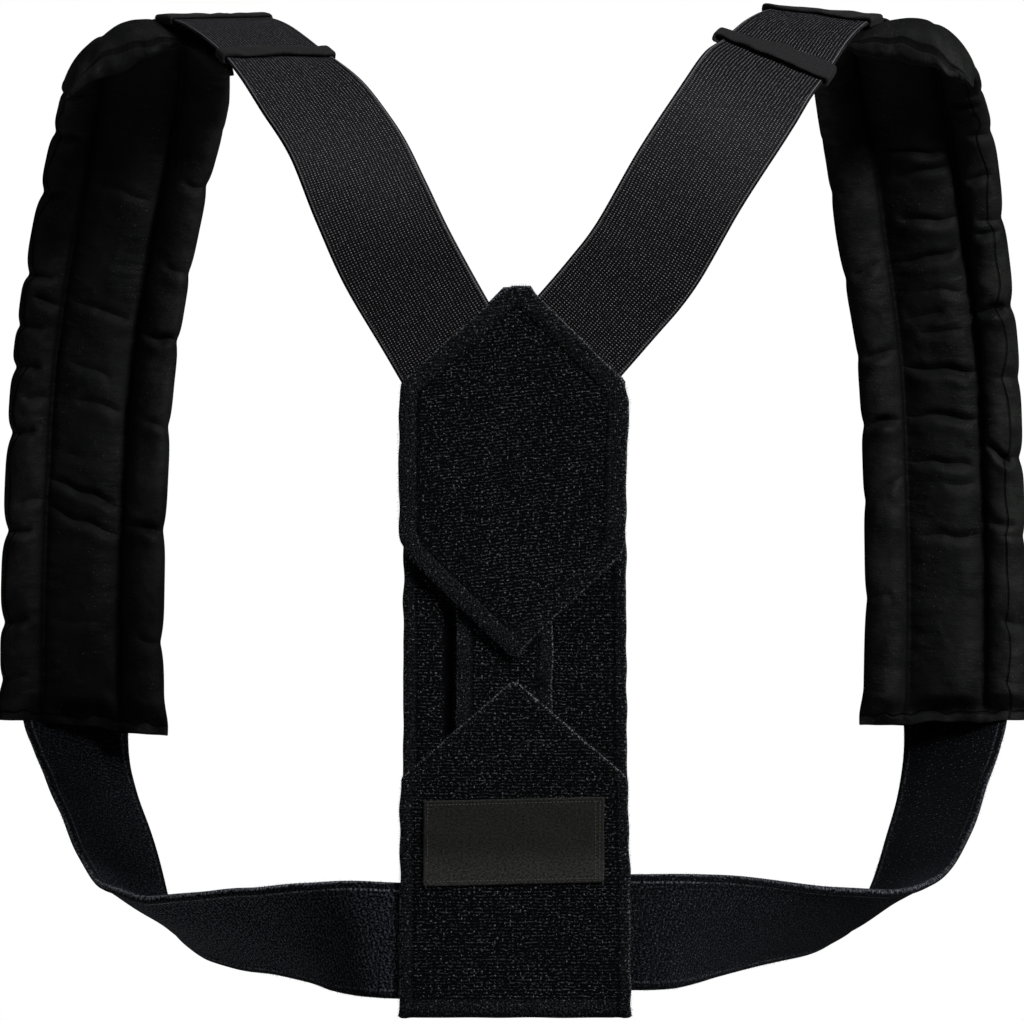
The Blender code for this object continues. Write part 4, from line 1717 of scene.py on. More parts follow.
@dataclass
class ShoulderPad:
    """A sleeve of three sewn, filled channels that lies under the elastic strap.

    Across is -half_width at the edge near the neck and +half_width at the outer edge. The
    rear end, over the shoulder, is turned over in a soft lip. Attributes of each side:

        rows: The middle line, as StrapPath reads it.
        creases: Heights at a fold's two ends, its ends across, and its depth.
        notches: Heights where the outer edge is drawn in, and how far.
        medial_notches: The same on the edge near the neck.
        side_seam: Where the side seam runs across the body face, by height.
        hem_drop: How much lower the hem hangs near the neck and near the outer edge.
        crown: How much higher the upper face stands at the rear end, by place across.
        lip_span: Where the lip starts, ends, and how gently.
        open_to: How far across the rear end stays open.
        shoulder_drop: How far the rear end's outer corner hangs down.
        lip_sag: How far the lip hangs down, by place across.
        nods: How far the rear end is bent down, by place across.
        medial_extra: How much farther the edge near the neck reaches, by height.
        scallop: How deep the scallops of the edges are, as a share of the notches.
        bow: How far each edge stands forward of the middle channel.
        leans: Which way the filling has slipped in each channel, over or under one.
    """

    side: Side
    rows: Rows
    creases: Rows
    notches: Rows
    medial_notches: Rows
    side_seam: Rows
    hem_drop: tuple[float, float]
    crown: Rows
    lip_span: tuple[float, float, float]
    open_to: float
    shoulder_drop: float
    lip_sag: Rows
    nods: Rows
    medial_extra: Rows
    scallop: float
    bow: tuple[float, float]
    leans: tuple[float, float, float]
    half_width: float = 38.6
    seam_half: float = 0.9
    body_rise: tuple[float, float, float] = (7.8, 7.2, 7.6)
    outer_rise: tuple[float, float, float] = (1.9, 2.2, 1.9)
    cells: tuple[int, int, int] = (14, 20, 14)
    step: float = 1.8
    lip: float = 10.0
    lip_rise: float = 5.0
    hem: float = 5.5
    frames: int = 20
    most_moved: tuple[float, float] = (5.0, 1.2)

    def __post_init__(self) -> None:
        """Read the middle line and the channels' borders."""
        self.path = StrapPath(self.rows, self.side)
        self.bounds = (-self.half_width, *CHANNEL_SEAMS, self.half_width)

    def grid(self) -> tuple[np.ndarray, np.ndarray]:
        """Places across and along of every point, closer at the two ends."""
        spans = zip(self.bounds, self.bounds[1:], self.cells)
        parts = [np.linspace(a, b, n + 1)[:-1] for a, b, n in spans]
        across = np.append(np.concatenate(parts), self.half_width)
        length = self.path.length
        near = np.array((0.0, 0.5, 1.3, 2.4, 3.8))
        far = length - np.array((self.hem, 4.2, 2.8, 1.4, 0.0))
        along = np.concatenate((near, spaced(5.4, length - self.hem - 1.6, self.step), far))
        return np.meshgrid(across, along)

    def fullness(self, u: np.ndarray, rises: Sequence[float]) -> np.ndarray:
        """How far a face stands off the middle surface between its seams."""
        found = np.zeros_like(u)
        # The filling has slipped towards one seam of each channel
        for low, high, rise, lean in zip(self.bounds, self.bounds[1:], rises, self.leans):
            t = np.clip((u - low) / (high - low), 0, 1)
            arch = rise * (1 - np.abs(2 * t**lean - 1) ** 2.1) ** 0.7
            found = np.where((u >= low) & (u <= high), arch, found)
        return found

    def distance_at(self, z: float) -> float:
        """Distance along the path, past the shoulder, where its middle reaches a height."""
        crest = int(np.argmax(self.path.middle[:, 2]))
        return float(np.interp(-z, -self.path.middle[crest:, 2], self.path.reach[crest:]))

    def by_height(self, s: np.ndarray, rows: Rows) -> np.ndarray:
        """Read a table of heights and values at distances along the path."""
        return np.interp(s, [self.distance_at(z) for z, _ in rows], [value for _, value in rows])

    def cusps(self, s: np.ndarray, notches: Rows) -> np.ndarray:
        """How far an edge is drawn in: a point at each notch and a round bulge between."""
        places = [self.distance_at(z) for z, _ in notches]
        places = np.array([places[0] - 30.0, *places, self.path.length + 12.0])
        depths = np.array([0.5, *(depth for _, depth in notches), 0.4])
        found = np.zeros_like(s)
        for a, b, deep_a, deep_b in zip(places, places[1:], depths, depths[1:]):
            t = np.clip((s - a) / (b - a), 0, 1)
            deep = 1.4 * self.scallop * np.where(t < 0.5, deep_a, deep_b)
            found = np.where((s >= a) & (s < b), deep * np.abs(2 * t - 1) ** 4, found)
        return found

    def folds(self, u: np.ndarray, s: np.ndarray) -> tuple[np.ndarray, np.ndarray, np.ndarray]:
        """Lay the creases.

        Args:
            u: Place across.
            s: Distance along.

        Returns:
            The share of its fullness that each place loses, and for the sharp line at the
            bottom of each crease the distance from it and its depth.
        """
        rows = list(self.creases)
        for z, depth in self.notches:
            rows.append((z + 1.0, z, 25.0, 39.0, 0.2 * self.scallop * depth))
        for z, depth in self.medial_notches:
            rows.append((z, z + 1.0, -39.0, -26.0, 0.2 * self.scallop * depth))
        found, sharp = np.zeros_like(u), np.zeros_like(u)
        nearest = np.full_like(u, 20.0)
        for z_in, z_out, u_in, u_out, depth in rows:
            line = np.interp(u, (u_in, u_out), (self.distance_at(z_in), self.distance_at(z_out)))
            line = line + 0.9 * ripple(u, 0 * u + z_in, 17.0, Seed.CREASE_PATH)
            gate = smooth_step(u, u_in - 2, u_in + 3) * fall(u, u_out - 3, u_out + 2)
            off = s - line
            found = found + depth * gate * (bell(off, 1.6) - 0.3 * bell(off - 5.0, 3.0))
            weight = depth * gate * bell(off, 4.0)
            nearest = np.where(weight > sharp, off, nearest)
            sharp = np.maximum(weight, sharp)
        return np.clip(1.15 * found, -0.3, 0.8), nearest, 1.5 * sharp

    def puckers(self, u: np.ndarray, s: np.ndarray) -> np.ndarray:
        """Small gathers beside each seam, in millimetres."""
        found = np.zeros_like(u)
        for number, seam in enumerate(self.bounds):
            near = bell(np.abs(u - seam) - 4.0, 4.2)
            wave = ripple(0.35 * u, s, 8.5, Seed.PUCKERS + 3 * number + self.side.value)
            strength = 0.35 + 0.3 * ripple(0 * s, s, 60.0, Seed.PUCKER_STRENGTH + number)
            found = found + near * wave * strength
        return found

    def lip_shares(self, u: np.ndarray) -> tuple[np.ndarray, np.ndarray]:
        """Where across the rear end is turned over, and where it is left open."""
        first, last, fade = self.lip_span
        started = smooth_step(u, first - 4, first + 4)
        open_end = started * fall(u, self.open_to - 3, self.open_to + 3)
        return started * fall(u, last - fade, last + fade), open_end

    def lip_roll(self, u: np.ndarray, s: np.ndarray, share: np.ndarray) -> Any:
        """How high the turned end's soft roll stands, and how far it is pushed back."""
        roll = np.sqrt(np.clip(1 - (2 * s / self.lip - 1) ** 2, 0, 1)) * share
        uneven = 1 + 0.3 * ripple(u, s, 8.0, Seed.LIP_PUSH)
        push = 4.5 * roll * (1 - np.clip(s / self.lip, 0, 1)) * uneven
        rise = self.lip_rise + read_table(u, self.lip_sag)
        return (rise + 1.1 * ripple(u, 0.5 * s, 11.0, Seed.LIP_HEIGHT)) * roll, push

    def heights(self, u: np.ndarray, s: np.ndarray, closed: np.ndarray) -> dict[str, np.ndarray]:
        """How far both faces stand off the middle surface.

        Args:
            u: Place across.
            s: Distance along.
            closed: 1 inside, falling to 0 at the two long edges.

        Returns:
            The body face, the outer face, the half thickness at seams, the lip's roll and
            push, and the creases with their depth.
        """
        to_end = self.path.length - s
        lipped, open_end = self.lip_shares(u)
        filled = smooth_step(s, 6.0, 24.0) * open_end + rounded(s / 11.0) * (1 - open_end)
        filled = filled * smooth_step(to_end, self.hem, self.hem + 8.0)
        lost, crease, depth = self.folds(u, s)
        body = self.fullness(u, self.body_rise) * (1 - lost)
        body = body * (1 + 0.09 * ripple(u, s, 34.0, Seed.PAD_BODY + self.side.value))
        body = (body + self.puckers(u, s) * closed) * filled
        roll, push = self.lip_roll(u, s, closed * lipped)
        rear = rounded(s / 7.0)
        crown = read_table(u, self.crown) * fall(s, 24.0, 52.0)
        outer = self.fullness(u, self.outer_rise) * smooth_step(s, 4.0, 20.0)
        outer = (outer + (crown + 1.2) * closed) * rear
        thin = self.seam_half * closed * rear
        return {
            "body": np.maximum(body, roll),
            "outer": outer * smooth_step(to_end, self.hem, self.hem + 9.0),
            "thin": thin * (1 - 0.35 * bell(to_end - self.hem, 1.2)),
            "roll": roll,
            "push": push,
            "crease": crease,
            "crease_depth": depth,
        }

    def middle_surface(self, u: np.ndarray, s: np.ndarray, hang: np.ndarray) -> np.ndarray:
        """The surface between both faces, with its drawn-in edges, bends and slack hem.

        Args:
            u: Place across.
            s: Distance along.
            hang: How the strap's own droop grows towards the edges, 0 to 1.

        Returns:
            The points in millimetres.
        """
        length, half = self.path.length, self.half_width
        hem = smooth_step(s, length - 18.0, length - 4.0)
        draw = self.cusps(s, self.notches) * smooth_step(u, 20.0, half)
        draw = draw - self.cusps(s, self.medial_notches) * smooth_step(-u, 24.0, half)
        draw = draw + self.by_height(s, self.medial_extra) * smooth_step(-u, 8.0, half)
        droop = np.interp(s[:, 0], self.path.reach, self.path.droop)[:, None] * hang**3
        free = smooth_step(s, 70.0, 130.0) * (1 - 0.9 * smooth_step(s, length - 60, length - 10))
        droop = droop + np.where(u < 0, *self.bow) * free * hang**2
        ragged = 0.9 * self.lip_shares(u)[0] * ripple(u, 0 * u, 12.0, Seed.REAR_EDGE)
        nod = read_table(u, self.nods) * (1 - np.clip(s / 13.0, 0, 1)) ** 2
        nod = nod + ragged * (1 - np.clip(s / self.lip, 0, 1))
        nod = nod + self.shoulder_drop * smooth_step(u, 12.0, 34.0) * fall(s, 30.0, 75.0)
        drop = np.interp(u, (-half, half * 0.6), self.hem_drop)
        drop = drop + 0.9 * ripple(u, 0 * u, 24.0, Seed.HEM_EDGE)
        flutter = 1.7 * hem * ripple(u, s, 19.0, Seed.HEM_FLUTTER + self.side.value)
        middle, across, outward = self.path.at(s[:, 0])
        forward = -self.side.value * np.cross(across, outward)
        base = middle[:, None] + across[:, None] * (u * (1 + 0.05 * hem) - draw)[..., None]
        base = base + outward[:, None] * (flutter - droop - nod)[..., None]
        return base + forward[:, None] * (drop * smooth_step(s, length - 45.0, length))[..., None]

    def faces(self) -> dict[str, np.ndarray]:
        """Points of both faces before the cloth settles.

        Returns:
            The body face, the outer face, places across and along, what is held still, and
            the distance from each seam and crease.
        """
        u, s = self.grid()
        to_end = self.path.length - s
        share = np.abs(u) / self.half_width
        closed = np.sqrt(np.clip(1 - share**8, 0, 1))
        made = self.heights(u, s, closed)
        base = self.middle_surface(u, s, share)
        _, across, outward = self.path.at(s[:, 0])
        forward = -self.side.value * np.cross(across, outward)
        body = base - outward[:, None] * (made["thin"] + made["body"])[..., None]
        held = np.isin(u, CHANNEL_SEAMS).astype(float)
        held[(s < self.lip) | (to_end < self.hem + 0.5)] = 1.0
        side_seam = u - self.by_height(s, self.side_seam)
        side_seam = side_seam - 1.1 * ripple(0 * s, s, 30.0, Seed.SIDE_SEAM)
        side_seam = side_seam + 0.8 * self.cusps(s, self.notches)
        end_seam = np.maximum(s, made["roll"]) + 6.0 * (1 - self.lip_shares(u)[0])
        hem_seam = to_end - self.hem + 0.5 + 0.9 * ripple(u, 0 * u, 11.0, Seed.HEM_SEAM)
        return {
            "body": body - forward[:, None] * made["push"][..., None],
            "outer": base + outward[:, None] * (made["thin"] + made["outer"])[..., None],
            "u": u,
            "s": s,
            "held": held,
            "side_seam": side_seam * MM,
            "end_seam": end_seam * MM,
            "hem_seam": hem_seam * MM,
            "crease": made["crease"],
            "crease_depth": made["crease_depth"],
        }

    def settle(self, obj: bpy.types.Object, held: np.ndarray, outer: np.ndarray) -> None:
        """Let the filling push the cloth out between its seams, and keep the result.

        Each face moves most_moved millimetres at most, the one under the strap less.

        Args:
            obj: The pad, whose mesh is changed.
            held: For each point, 1 where a seam or hem holds it.
            outer: For each point, 1 on the face that lies under the strap.
        """
        start = np.zeros(len(obj.data.vertices) * 3)
        obj.data.vertices.foreach_get("co", start)
        start = start.reshape(-1, 3)
        pins = obj.vertex_groups.new(name="seams")
        slack = obj.vertex_groups.new(name="slack")
        pins.add(np.where(held > 0.5)[0].tolist(), 1.0, "REPLACE")
        slack.add(np.where(held <= 0.5)[0].tolist(), 1.0, "REPLACE")
        modifier = obj.modifiers.new("Cloth", "CLOTH")
        cloth = modifier.settings
        for key, value in COTTON_CLOTH.items():
            setattr(cloth, key, value)
        cloth.vertex_group_mass = pins.name
        cloth.vertex_group_shrink = slack.name
        cloth.effector_weights.gravity = 0.0
        modifier.collision_settings.use_collision = False
        scene = bpy.context.scene
        for number in range(self.frames):
            scene.frame_set(number + 1)
        view = bpy.context.evaluated_depsgraph_get()
        settled = obj.evaluated_get(view).to_mesh()
        moved = np.zeros_like(start).ravel()
        settled.vertices.foreach_get("co", moved)
        obj.evaluated_get(view).to_mesh_clear()
        shift = moved.reshape(-1, 3) - start
        size = np.linalg.norm(shift, axis=1, keepdims=True)
        free, under_strap = self.most_moved
        cap = np.where(outer > 0.5, under_strap, free)[:, None] * MM
        log.info("cloth moved %.1f mm on average", float(size.mean()) / MM)
        shift = shift * (cap * np.tanh(size / cap) / np.maximum(size, 1e-9))
        obj.modifiers.remove(modifier)
        obj.vertex_groups.clear()
        obj.data.vertices.foreach_set("co", (start + shift).ravel())
        obj.data.update()
        scene.frame_set(1)

    def build(self, wardrobe: Wardrobe) -> bpy.types.Object:
        """Make the pad, settle its cloth and finish it.

        Args:
            wardrobe: The finishes.

        Returns:
            The pad.
        """
        made = self.faces()
        name = f"shoulder_pad_cotton_{self.side.label}"
        inner = (slice(1, -1), slice(1, -1))
        held = np.concatenate((made["held"].ravel(), made["held"][inner].ravel()))
        outer = np.concatenate(
            (np.zeros(made["held"].size), np.ones(made["held"][inner].size))
        )
        far = np.full_like(made["u"], 10 * MM)
        pad = shell_object(
            name,
            made["body"],
            made["outer"],
            made["u"],
            made["s"],
            wardrobe.cotton,
            {
                SIDE_SEAM: (made["side_seam"], far),
                END_SEAM: (made["end_seam"], -made["s"] * MM),
                HEM_SEAM: made["hem_seam"],
                CREASE: made["crease"],
                CREASE_DEPTH: (made["crease_depth"], 0 * made["crease_depth"]),
            },
        )
        self.settle(pad, held, outer)
        soften = pad.modifiers.new("Soft", "SUBSURF")
        soften.levels = 1
        soften.render_levels = 1
        finish_object(pad, f"shoulder_pad_{self.side.label}")
        return pad


# Light and camera


@dataclass
class Studio:
    """The paper floor, soft lights and the camera at the photograph's angle."""

    floor_z: float = -1.25
    floor_half: float = 4.5
    camera_y: float = -2.3
    camera_x: float = -0.0009
    camera_z: float = -0.209
    seen_width: float = 0.45926
    ambient: float = 0.02

    def build(self) -> None:
        """Make the floor, the lights and the camera."""
        self.floor()
        self.sky()
        self.lamp("key_light", (1.9, -1.5, 1.3), 0.8, 7.4, 60.0)
        self.lamp("fill_light", (-1.6, -2.2, 0.2), 1.6, 0.6, 70.0)
        self.lamp("top_light", (0.2, -0.7, 2.2), 1.2, 2.2, 60.0)
        self.camera()

    def floor(self) -> None:
        """A broad sheet of pale paper below the part."""
        half = self.floor_half
        mesh = bpy.data.meshes.new("paper_floor")
        corners = [(-half, -half), (half, -half), (half, half), (-half, half)]
        mesh.from_pydata([(x, y, self.floor_z) for x, y in corners], [], [(0, 1, 2, 3)])
        mesh.materials.append(studio_paper())
        link_object("paper_floor", mesh)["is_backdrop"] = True

    def sky(self) -> None:
        """Even pale light from all round, behind it a white ground for the camera."""
        world = bpy.data.worlds.new("studio_light")
        world.use_nodes = True
        tree = world.node_tree
        back = tree.nodes["Background"]
        back.inputs["Color"].default_value = linear("#ffffff")
        seen = add_node(tree, "ShaderNodeLightPath").outputs["Is Camera Ray"]
        strength = add_node(
            tree, "ShaderNodeMapRange", None, {0: seen, 3: self.ambient, 4: 1.0}
        )
        tree.links.new(strength.outputs[0], back.inputs["Strength"])
        bpy.context.scene.world = world

    def lamp(
        self,
        name: str,
        place: tuple[float, float, float],
        size: float,
        watts: float,
        spread: float,
    ) -> None:
        """Add one soft square light, aimed at the part's middle.

        Args:
            name: The light's name.
            place: Where it stands, in metres.
            size: Its side, in metres.
            watts: Its power.
            spread: The angle of its beam in degrees, which keeps it off the floor nearby.
        """
        data = bpy.data.lights.new(name, "AREA")
        data.shape = "SQUARE"
        data.size = size
        data.energy = watts
        data.spread = math.radians(spread)
        lamp = link_object(name, data)
        lamp.location = place
        aim = Vector((0.0, 0.0, -0.2)) - Vector(place)
        lamp.rotation_euler = aim.to_track_quat("-Z", "Y").to_euler()

    def camera(self) -> None:
        """A level camera behind the wearer, square to the back panel."""
        data = bpy.data.cameras.new("camera")
        data.sensor_fit = "HORIZONTAL"
        data.sensor_width = 36.0
        data.lens = 36.0 * abs(self.camera_y) / self.seen_width
        camera = link_object("camera", data)
        camera.location = (self.camera_x, self.camera_y, self.camera_z)
        camera.rotation_euler = (math.radians(90.0), 0.0, 0.0)
        bpy.context.scene.camera = camera


# The part's own routes, in its frame

ELASTIC_Y, LOWER_Y = -94.0, -94.3

ELASTIC_ROWS = {
    Side.LEFT: (
        (-22.0, ELASTIC_Y, -150.0, 180.0, -28.0), (-37.0, ELASTIC_Y, -124.0, 180.0, -29.0),
        (-51.0, ELASTIC_Y, -98.0, 181.0, -26.0), (-61.0, -90.0, -76.0, 189.0, -21.0),
        (-73.4, -77.0, -49.0, 199.0, -15.0), (-88.5, -57.0, -27.0, 204.0, -15.0),
        (-105.4, -31.0, -8.0, 211.0, -7.0), (-122.3, -8.0, 6.5, 211.0, -5.0),
        (-135.8, 12.0, 12.3, 208.0, -3.0), (-147.0, 34.0, 10.0, 204.0, -5.0),
        (-160.0, 60.0, -14.0, 200.0, -7.0), (-173.0, 78.0, -52.0, 194.0, -5.0),
        (-184.0, 87.0, -92.0, 188.0, -3.0), (-191.5, 89.7, -135.0, 183.0, 0.0),
        (-198.0, 90.5, -240.0, 180.0, 0.0), (-199.5, 89.2, -285.0, 180.0, 0.0),
    ),
    Side.RIGHT: (
        (23.0, ELASTIC_Y, -140.0, 0.0, -42.0), (42.0, ELASTIC_Y, -118.0, 0.0, -40.0),
        (56.4, ELASTIC_Y, -99.0, 0.0, -33.0), (75.3, -90.0, -66.0, -1.0, -30.0),
        (93.5, -78.0, -38.0, -3.0, -32.0), (104.5, -60.0, -21.5, -6.0, -29.0),
        (115.4, -34.0, -9.0, -14.0, -21.0), (127.8, -9.0, 6.0, -22.0, -13.0),
        (141.0, 12.0, 14.0, -25.0, -7.0), (152.0, 34.0, 11.0, -24.0, -7.0),
        (163.0, 60.0, -13.0, -20.0, -7.0), (175.0, 78.0, -50.0, -14.0, -5.0),
        (186.0, 87.0, -92.0, -8.0, -3.0), (193.0, 89.7, -135.0, -3.0, 0.0),
        (198.0, 90.5, -240.0, 0.0, 0.0), (199.0, 89.2, -285.0, 0.0, 0.0),
    ),
}
LOWER_ROWS = {
    Side.LEFT: (
        (-199.0, 92.6, -258.0, 180.0, 0.0), (-201.4, 91.6, -280.0, 180.0, 0.0),
        (-204.2, 89.5, -299.0, 187.0, 0.5), (-201.6, 84.5, -318.0, 209.0, 5.0),
        (-195.4, 74.2, -337.0, 215.0, 12.0), (-183.6, 50.5, -362.5, 218.0, 14.5),
        (-170.1, 22.3, -387.4, 216.0, 28.5), (-151.9, -6.4, -395.4, 224.8, 35.5),
        (-128.5, -31.5, -395.6, 230.0, 46.5), (-102.9, -54.4, -394.6, 231.0, 58.0),
        (-82.0, -78.0, -394.0, 244.0, 74.0), (-67.5, -90.5, -393.6, 262.0, 87.0),
        (-56.0, LOWER_Y, -394.0, 270.0, 90.0), (-51.0, LOWER_Y, -394.2, 270.0, 90.0),
        (-32.0, LOWER_Y, -395.0, 270.0, 90.0), (-4.0, LOWER_Y, -396.0, 270.0, 90.0),
    ),
    Side.RIGHT: (
        (199.0, 92.6, -258.0, 0.0, 0.0), (201.8, 91.6, -280.0, 0.0, 0.0),
        (205.6, 91.5, -299.0, -13.0, 1.0), (204.2, 87.0, -318.0, -28.0, 6.0),
        (198.7, 74.6, -338.0, -32.5, 13.0), (188.5, 50.6, -362.2, -33.5, 16.5),
        (173.4, 21.5, -384.4, -37.6, 25.5), (153.6, -7.0, -391.4, -43.8, 34.0),
        (130.5, -30.5, -392.4, -47.6, 44.5), (106.1, -52.0, -391.7, -50.0, 55.0),
        (82.0, -78.0, -390.9, -62.0, 73.0), (68.0, -90.5, -390.6, -82.0, 86.0),
        (57.0, LOWER_Y, -390.6, -90.0, 90.0), (52.0, LOWER_Y, -390.6, -90.0, 90.0),
        (32.0, LOWER_Y, -391.0, -90.0, 90.0), (4.0, LOWER_Y, -392.0, -90.0, 90.0),
    ),
}
# Painted light and shade on the straps' pile, by share of their length
STRAP_PAINTED_LIGHT = {
    Side.LEFT: ((0.0, 0.24), (0.36, 0.24), (0.44, 1.0), (0.7, 1.0), (0.85, 0.45), (1.0, 0.3)),
    Side.RIGHT: ((0.0, 0.04), (0.36, 0.04), (0.48, 0.3), (0.68, 0.25), (0.8, 0.22), (1.0, 0.2)),
}
# What each pad is like; ShoulderPad says what the values mean
PADS: dict[Side, dict[str, Any]] = {
    Side.LEFT: {
        "rows": (
            (-165.0, -13.0, 1.0, 180.0, -6.0, 18.0), (-167.0, 6.0, 4.2, 180.0, -6.0, 18.0),
            (-168.0, 30.0, -1.2, 181.0, -6.0, 14.0), (-171.0, 51.4, -20.4, 182.0, -5.0, 9.0),
            (-177.0, 66.4, -45.0, 182.0, -4.0, 5.0), (-184.8, 77.0, -80.0, 182.0, -2.0, 3.0),
            (-191.5, 82.0, -118.0, 181.0, 0.0, 2.0), (-196.3, 84.0, -160.0, 180.0, 0.0, 1.5),
            (-199.8, 84.0, -235.0, 180.0, 0.0, 1.0), (-200.5, 81.5, -308.0, 180.0, 0.0, 1.0),
        ),
        "creases": (
            (-118.0, -113.0, -14.0, 15.0, 0.25), (-146.0, -141.0, -8.0, 12.0, 0.16),
            (-162.0, -158.0, -14.0, 8.0, 0.22), (-207.0, -195.0, -16.0, 17.0, 0.42),
            (-221.0, -208.0, -16.0, 17.0, 0.36), (-185.0, -183.0, -6.0, 12.0, 0.12),
            (-117.0, -114.0, 19.0, 32.0, 0.45), (-160.0, -158.0, 19.0, 32.0, 0.28),
            (-205.0, -207.0, 19.0, 32.0, 0.28), (-125.0, -123.0, -38.0, -18.0, 0.34),
            (-217.0, -215.0, -38.0, -20.0, 0.34), (-62.0, -58.0, -12.0, 16.0, 0.15),
            (-262.0, -260.0, -10.0, 15.0, 0.1),
        ),
        "notches": (
            (-12.0, 1.6), (-38.0, 2.0), (-67.0, 2.4), (-105.0, 2.6), (-128.0, 1.6), (-146.0, 2.4),
            (-175.0, 2.6), (-220.0, 2.8), (-262.0, 2.4), (-288.0, 1.4),
        ),
        "medial_notches": (
            (-50.0, 1.4), (-92.0, 1.2), (-125.0, 1.6), (-168.0, 1.4), (-217.0, 1.4), (-270.0, 1.8),
        ),
        "side_seam": ((-10.0, 36.0), (-300.0, 36.0)),
        "hem_drop": (6.0, 0.0),
        "crown": (
            (-14.0, 0.0), (-4.0, 3.0), (4.0, 3.5), (10.0, 3.0), (15.0, 1.8), (25.0, 0.9),
            (32.0, 1.2), (38.0, 0.6),
        ),
        "lip_span": (-16.0, 28.0, 8.0),
        "open_to": 20.5,
        "shoulder_drop": 2.4,
        "lip_sag": ((-16.0, -2.0), (-4.0, 0.5), (6.0, 3.6), (13.0, 6.2), (20.0, 5.6), (28.0, 3.2)),
        "nods": ((-38.0, 3.4), (-20.0, 3.4), (-13.0, 1.6), (-5.0, 2.0), (6.0, 3.4), (38.0, 3.4)),
        "medial_extra": ((-2.0, 0.0), (-15.0, 1.4), (-35.0, 0.6), (-50.0, 0.0)),
        "scallop": 0.75,
        "bow": (4.0, 4.0),
        "leans": (0.8, 0.8, 0.85),
    },
    Side.RIGHT: {
        "rows": (
            (168.5, -13.0, 1.0, 0.0, -4.0, 15.0), (170.5, 6.0, 4.3, 0.0, -4.0, 15.0),
            (173.4, 30.0, -1.0, -1.0, -4.0, 13.0), (178.5, 52.0, -20.0, -2.0, -4.0, 9.0),
            (184.5, 67.0, -45.0, -2.0, -3.0, 5.0), (189.8, 77.0, -80.0, -2.0, -2.0, 3.0),
            (194.8, 82.0, -118.0, -1.0, 0.0, 2.0), (198.4, 84.0, -160.0, 0.0, 0.0, 1.5),
            (200.5, 84.0, -235.0, 0.0, 0.0, 1.0), (200.2, 81.5, -308.0, 0.0, 0.0, 1.0),
        ),
        "creases": (
            (-39.0, -44.0, -14.0, 15.0, 0.36), (-52.0, -50.0, -10.0, 15.0, 0.25),
            (-72.0, -75.0, -10.0, 16.0, 0.4), (-92.0, -90.0, -12.0, 14.0, 0.42),
            (-106.0, -108.0, -4.0, 14.0, 0.2), (-118.0, -117.0, -14.0, 4.0, 0.28),
            (-127.0, -125.0, -8.0, 12.0, 0.22), (-141.0, -146.0, -16.0, 17.0, 0.55),
            (-164.0, -167.0, -16.0, 17.0, 0.45), (-186.0, -188.0, -16.0, 12.0, 0.4),
            (-198.0, -196.0, 0.0, 15.0, 0.18), (-221.0, -221.0, -12.0, 17.0, 0.25),
            (-95.0, -91.0, -36.0, -22.0, 0.25), (-134.0, -132.0, -36.0, -18.0, 0.35),
            (-168.0, -166.0, -38.0, -20.0, 0.5), (-204.0, -192.0, -38.0, -18.0, 0.3),
            (-21.0, -19.0, 20.0, 34.0, 0.35), (-58.0, -57.0, 22.0, 34.0, 0.35),
            (-84.0, -83.0, 24.0, 35.0, 0.35), (-121.0, -118.0, 19.0, 34.0, 0.6),
            (-180.0, -187.0, 20.0, 33.0, 0.5), (-217.0, -216.0, 20.0, 33.0, 0.3),
        ),
        "notches": (
            (-14.0, 1.6), (-38.0, 2.0), (-78.0, 2.2), (-118.0, 3.0), (-150.0, 1.6), (-186.0, 2.6),
            (-222.0, 1.8), (-262.0, 1.8), (-290.0, 1.2),
        ),
        "medial_notches": (
            (-55.0, 1.2), (-96.0, 1.4), (-134.0, 1.2), (-168.0, 2.0), (-204.0, 1.2), (-250.0, 1.4),
        ),
        "side_seam": ((-10.0, 31.5), (-184.0, 31.5), (-190.0, 28.6), (-300.0, 28.2)),
        "hem_drop": (1.5, -0.5),
        "crown": ((-14.0, 0.0), (-5.0, 2.0), (6.0, 4.2), (17.0, 5.8), (28.0, 3.4), (38.0, 1.5)),
        "lip_span": (-18.0, 31.0, 4.0),
        "open_to": 30.0,
        "shoulder_drop": 0.0,
        "lip_sag": ((-16.0, 1.0), (0.0, 3.4), (12.0, 3.0), (22.0, 1.6), (32.0, -1.0)),
        "nods": ((-38.0, 3.4), (-20.0, 2.4), (2.0, 0.8), (19.0, 4.4), (30.0, 5.4), (38.0, 4.4)),
        "medial_extra": (
            (-5.0, 0.0), (-25.0, 1.6), (-50.0, 2.4), (-75.0, 2.4), (-100.0, 1.4), (-125.0, 0.0),
        ),
        "scallop": 0.55,
        "bow": (4.5, -4.0),
        "leans": (1.3, 1.3, 0.95),
    },
}
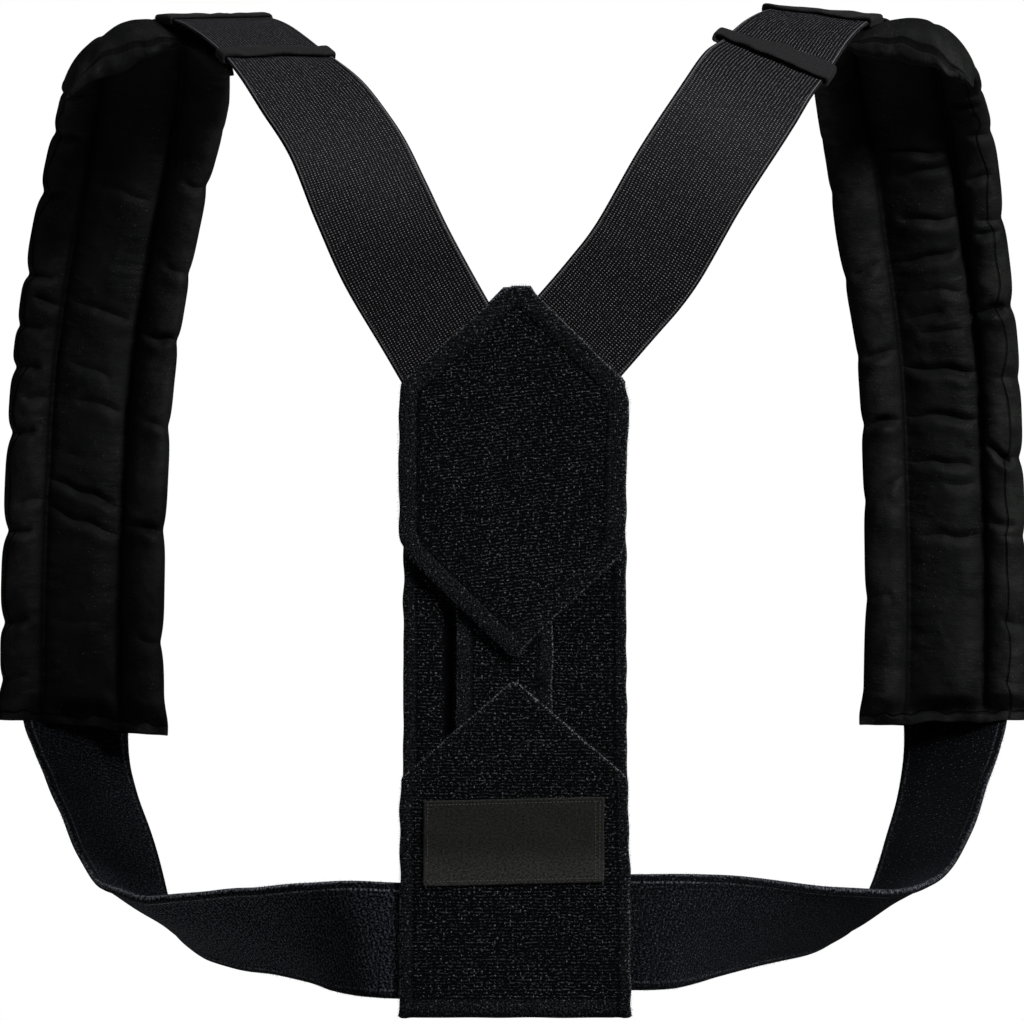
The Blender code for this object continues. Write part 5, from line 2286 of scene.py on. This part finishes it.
# Start and end along the strap, how proud, how the band is shifted, its ends' bulge
FLAT_BAND = ((-26.0, 0.0), (26.0, 0.0))
FRONT_BAND = (516.0, 530.0, 0.0, ((-26.0, 0.6), (0.0, -0.6), (26.0, 0.4)), (0.0, 0.0))
KEEPERS: dict[Side, dict[str, tuple]] = {
    Side.LEFT: {
        "keeper_rear": (
            182.0, 190.0, 0.8,
            ((-26.0, -3.0), (-20.0, -2.2), (-8.0, -0.4), (4.0, 1.2), (14.0, 2.6), (26.0, 4.2)),
            (-0.6, 0.0),
        ),
        "keeper_top": (235.0, 247.0, 0.0, FLAT_BAND, (0.0, 0.0)),
        "keeper_front": FRONT_BAND,
    },
    Side.RIGHT: {
        "keeper_rear": (
            179.0, 191.5, 1.2, ((-26.0, 1.5), (-14.0, 0.0), (4.0, 0.5), (26.0, -0.5)), (2.4, 0.4),
        ),
        "keeper_top": (235.0, 247.0, 0.0, FLAT_BAND, (3.0, -0.5)),
        "keeper_front": FRONT_BAND,
    },
}


def scatter_lint(sources: Sequence[bpy.types.Object], wardrobe: Wardrobe) -> None:
    """Drop lint on copies of the given pieces.

    Args:
        sources: The pieces that gather lint.
        wardrobe: The finishes.
    """
    maker = lint_maker()
    for number, source in enumerate(sources):
        base = link_object("lint_base", source.data.copy())
        values = {
            "Density": 380.0,
            "Length": 0.8 * MM,
            "Radius": 0.08 * MM,
            "Seed": 60 + number,
            "Material": wardrobe.lint,
        }
        made = maker.run(base, f"lint_{source.name}", values)
        finish_object(made)


def main() -> None:
    """Build every piece in order and light the scene."""
    logging.basicConfig(level=logging.INFO, format="%(name)s: %(message)s")
    cad_box = [list(corner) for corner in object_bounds()]
    bpy.context.scene.view_settings.view_transform = "Standard"
    wardrobe, trim = Wardrobe(), Trim()
    BackPanel().build(wardrobe, trim)
    pads = []
    for side in Side:
        elastic = StrapPath(ELASTIC_ROWS[side], side)
        ElasticStrap(side, elastic).build(wardrobe)
        LowerStrap(side, StrapPath(LOWER_ROWS[side], side), STRAP_PAINTED_LIGHT[side]).build(wardrobe, trim)
        for name, sizes in KEEPERS[side].items():
            node = f"{name}_{side.label}"
            title = f"{name}_binding_{side.label}"
            Keeper(title, node, elastic, *sizes).build(wardrobe)
        pads.append(ShoulderPad(side, **PADS[side]).build(wardrobe))
    trim.build(wardrobe)
    scatter_lint(pads, wardrobe)
    Studio().build()
    sizes = {"cad": cad_box, "visual": [list(corner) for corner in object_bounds()]}


if __name__ == "__main__":
    main()
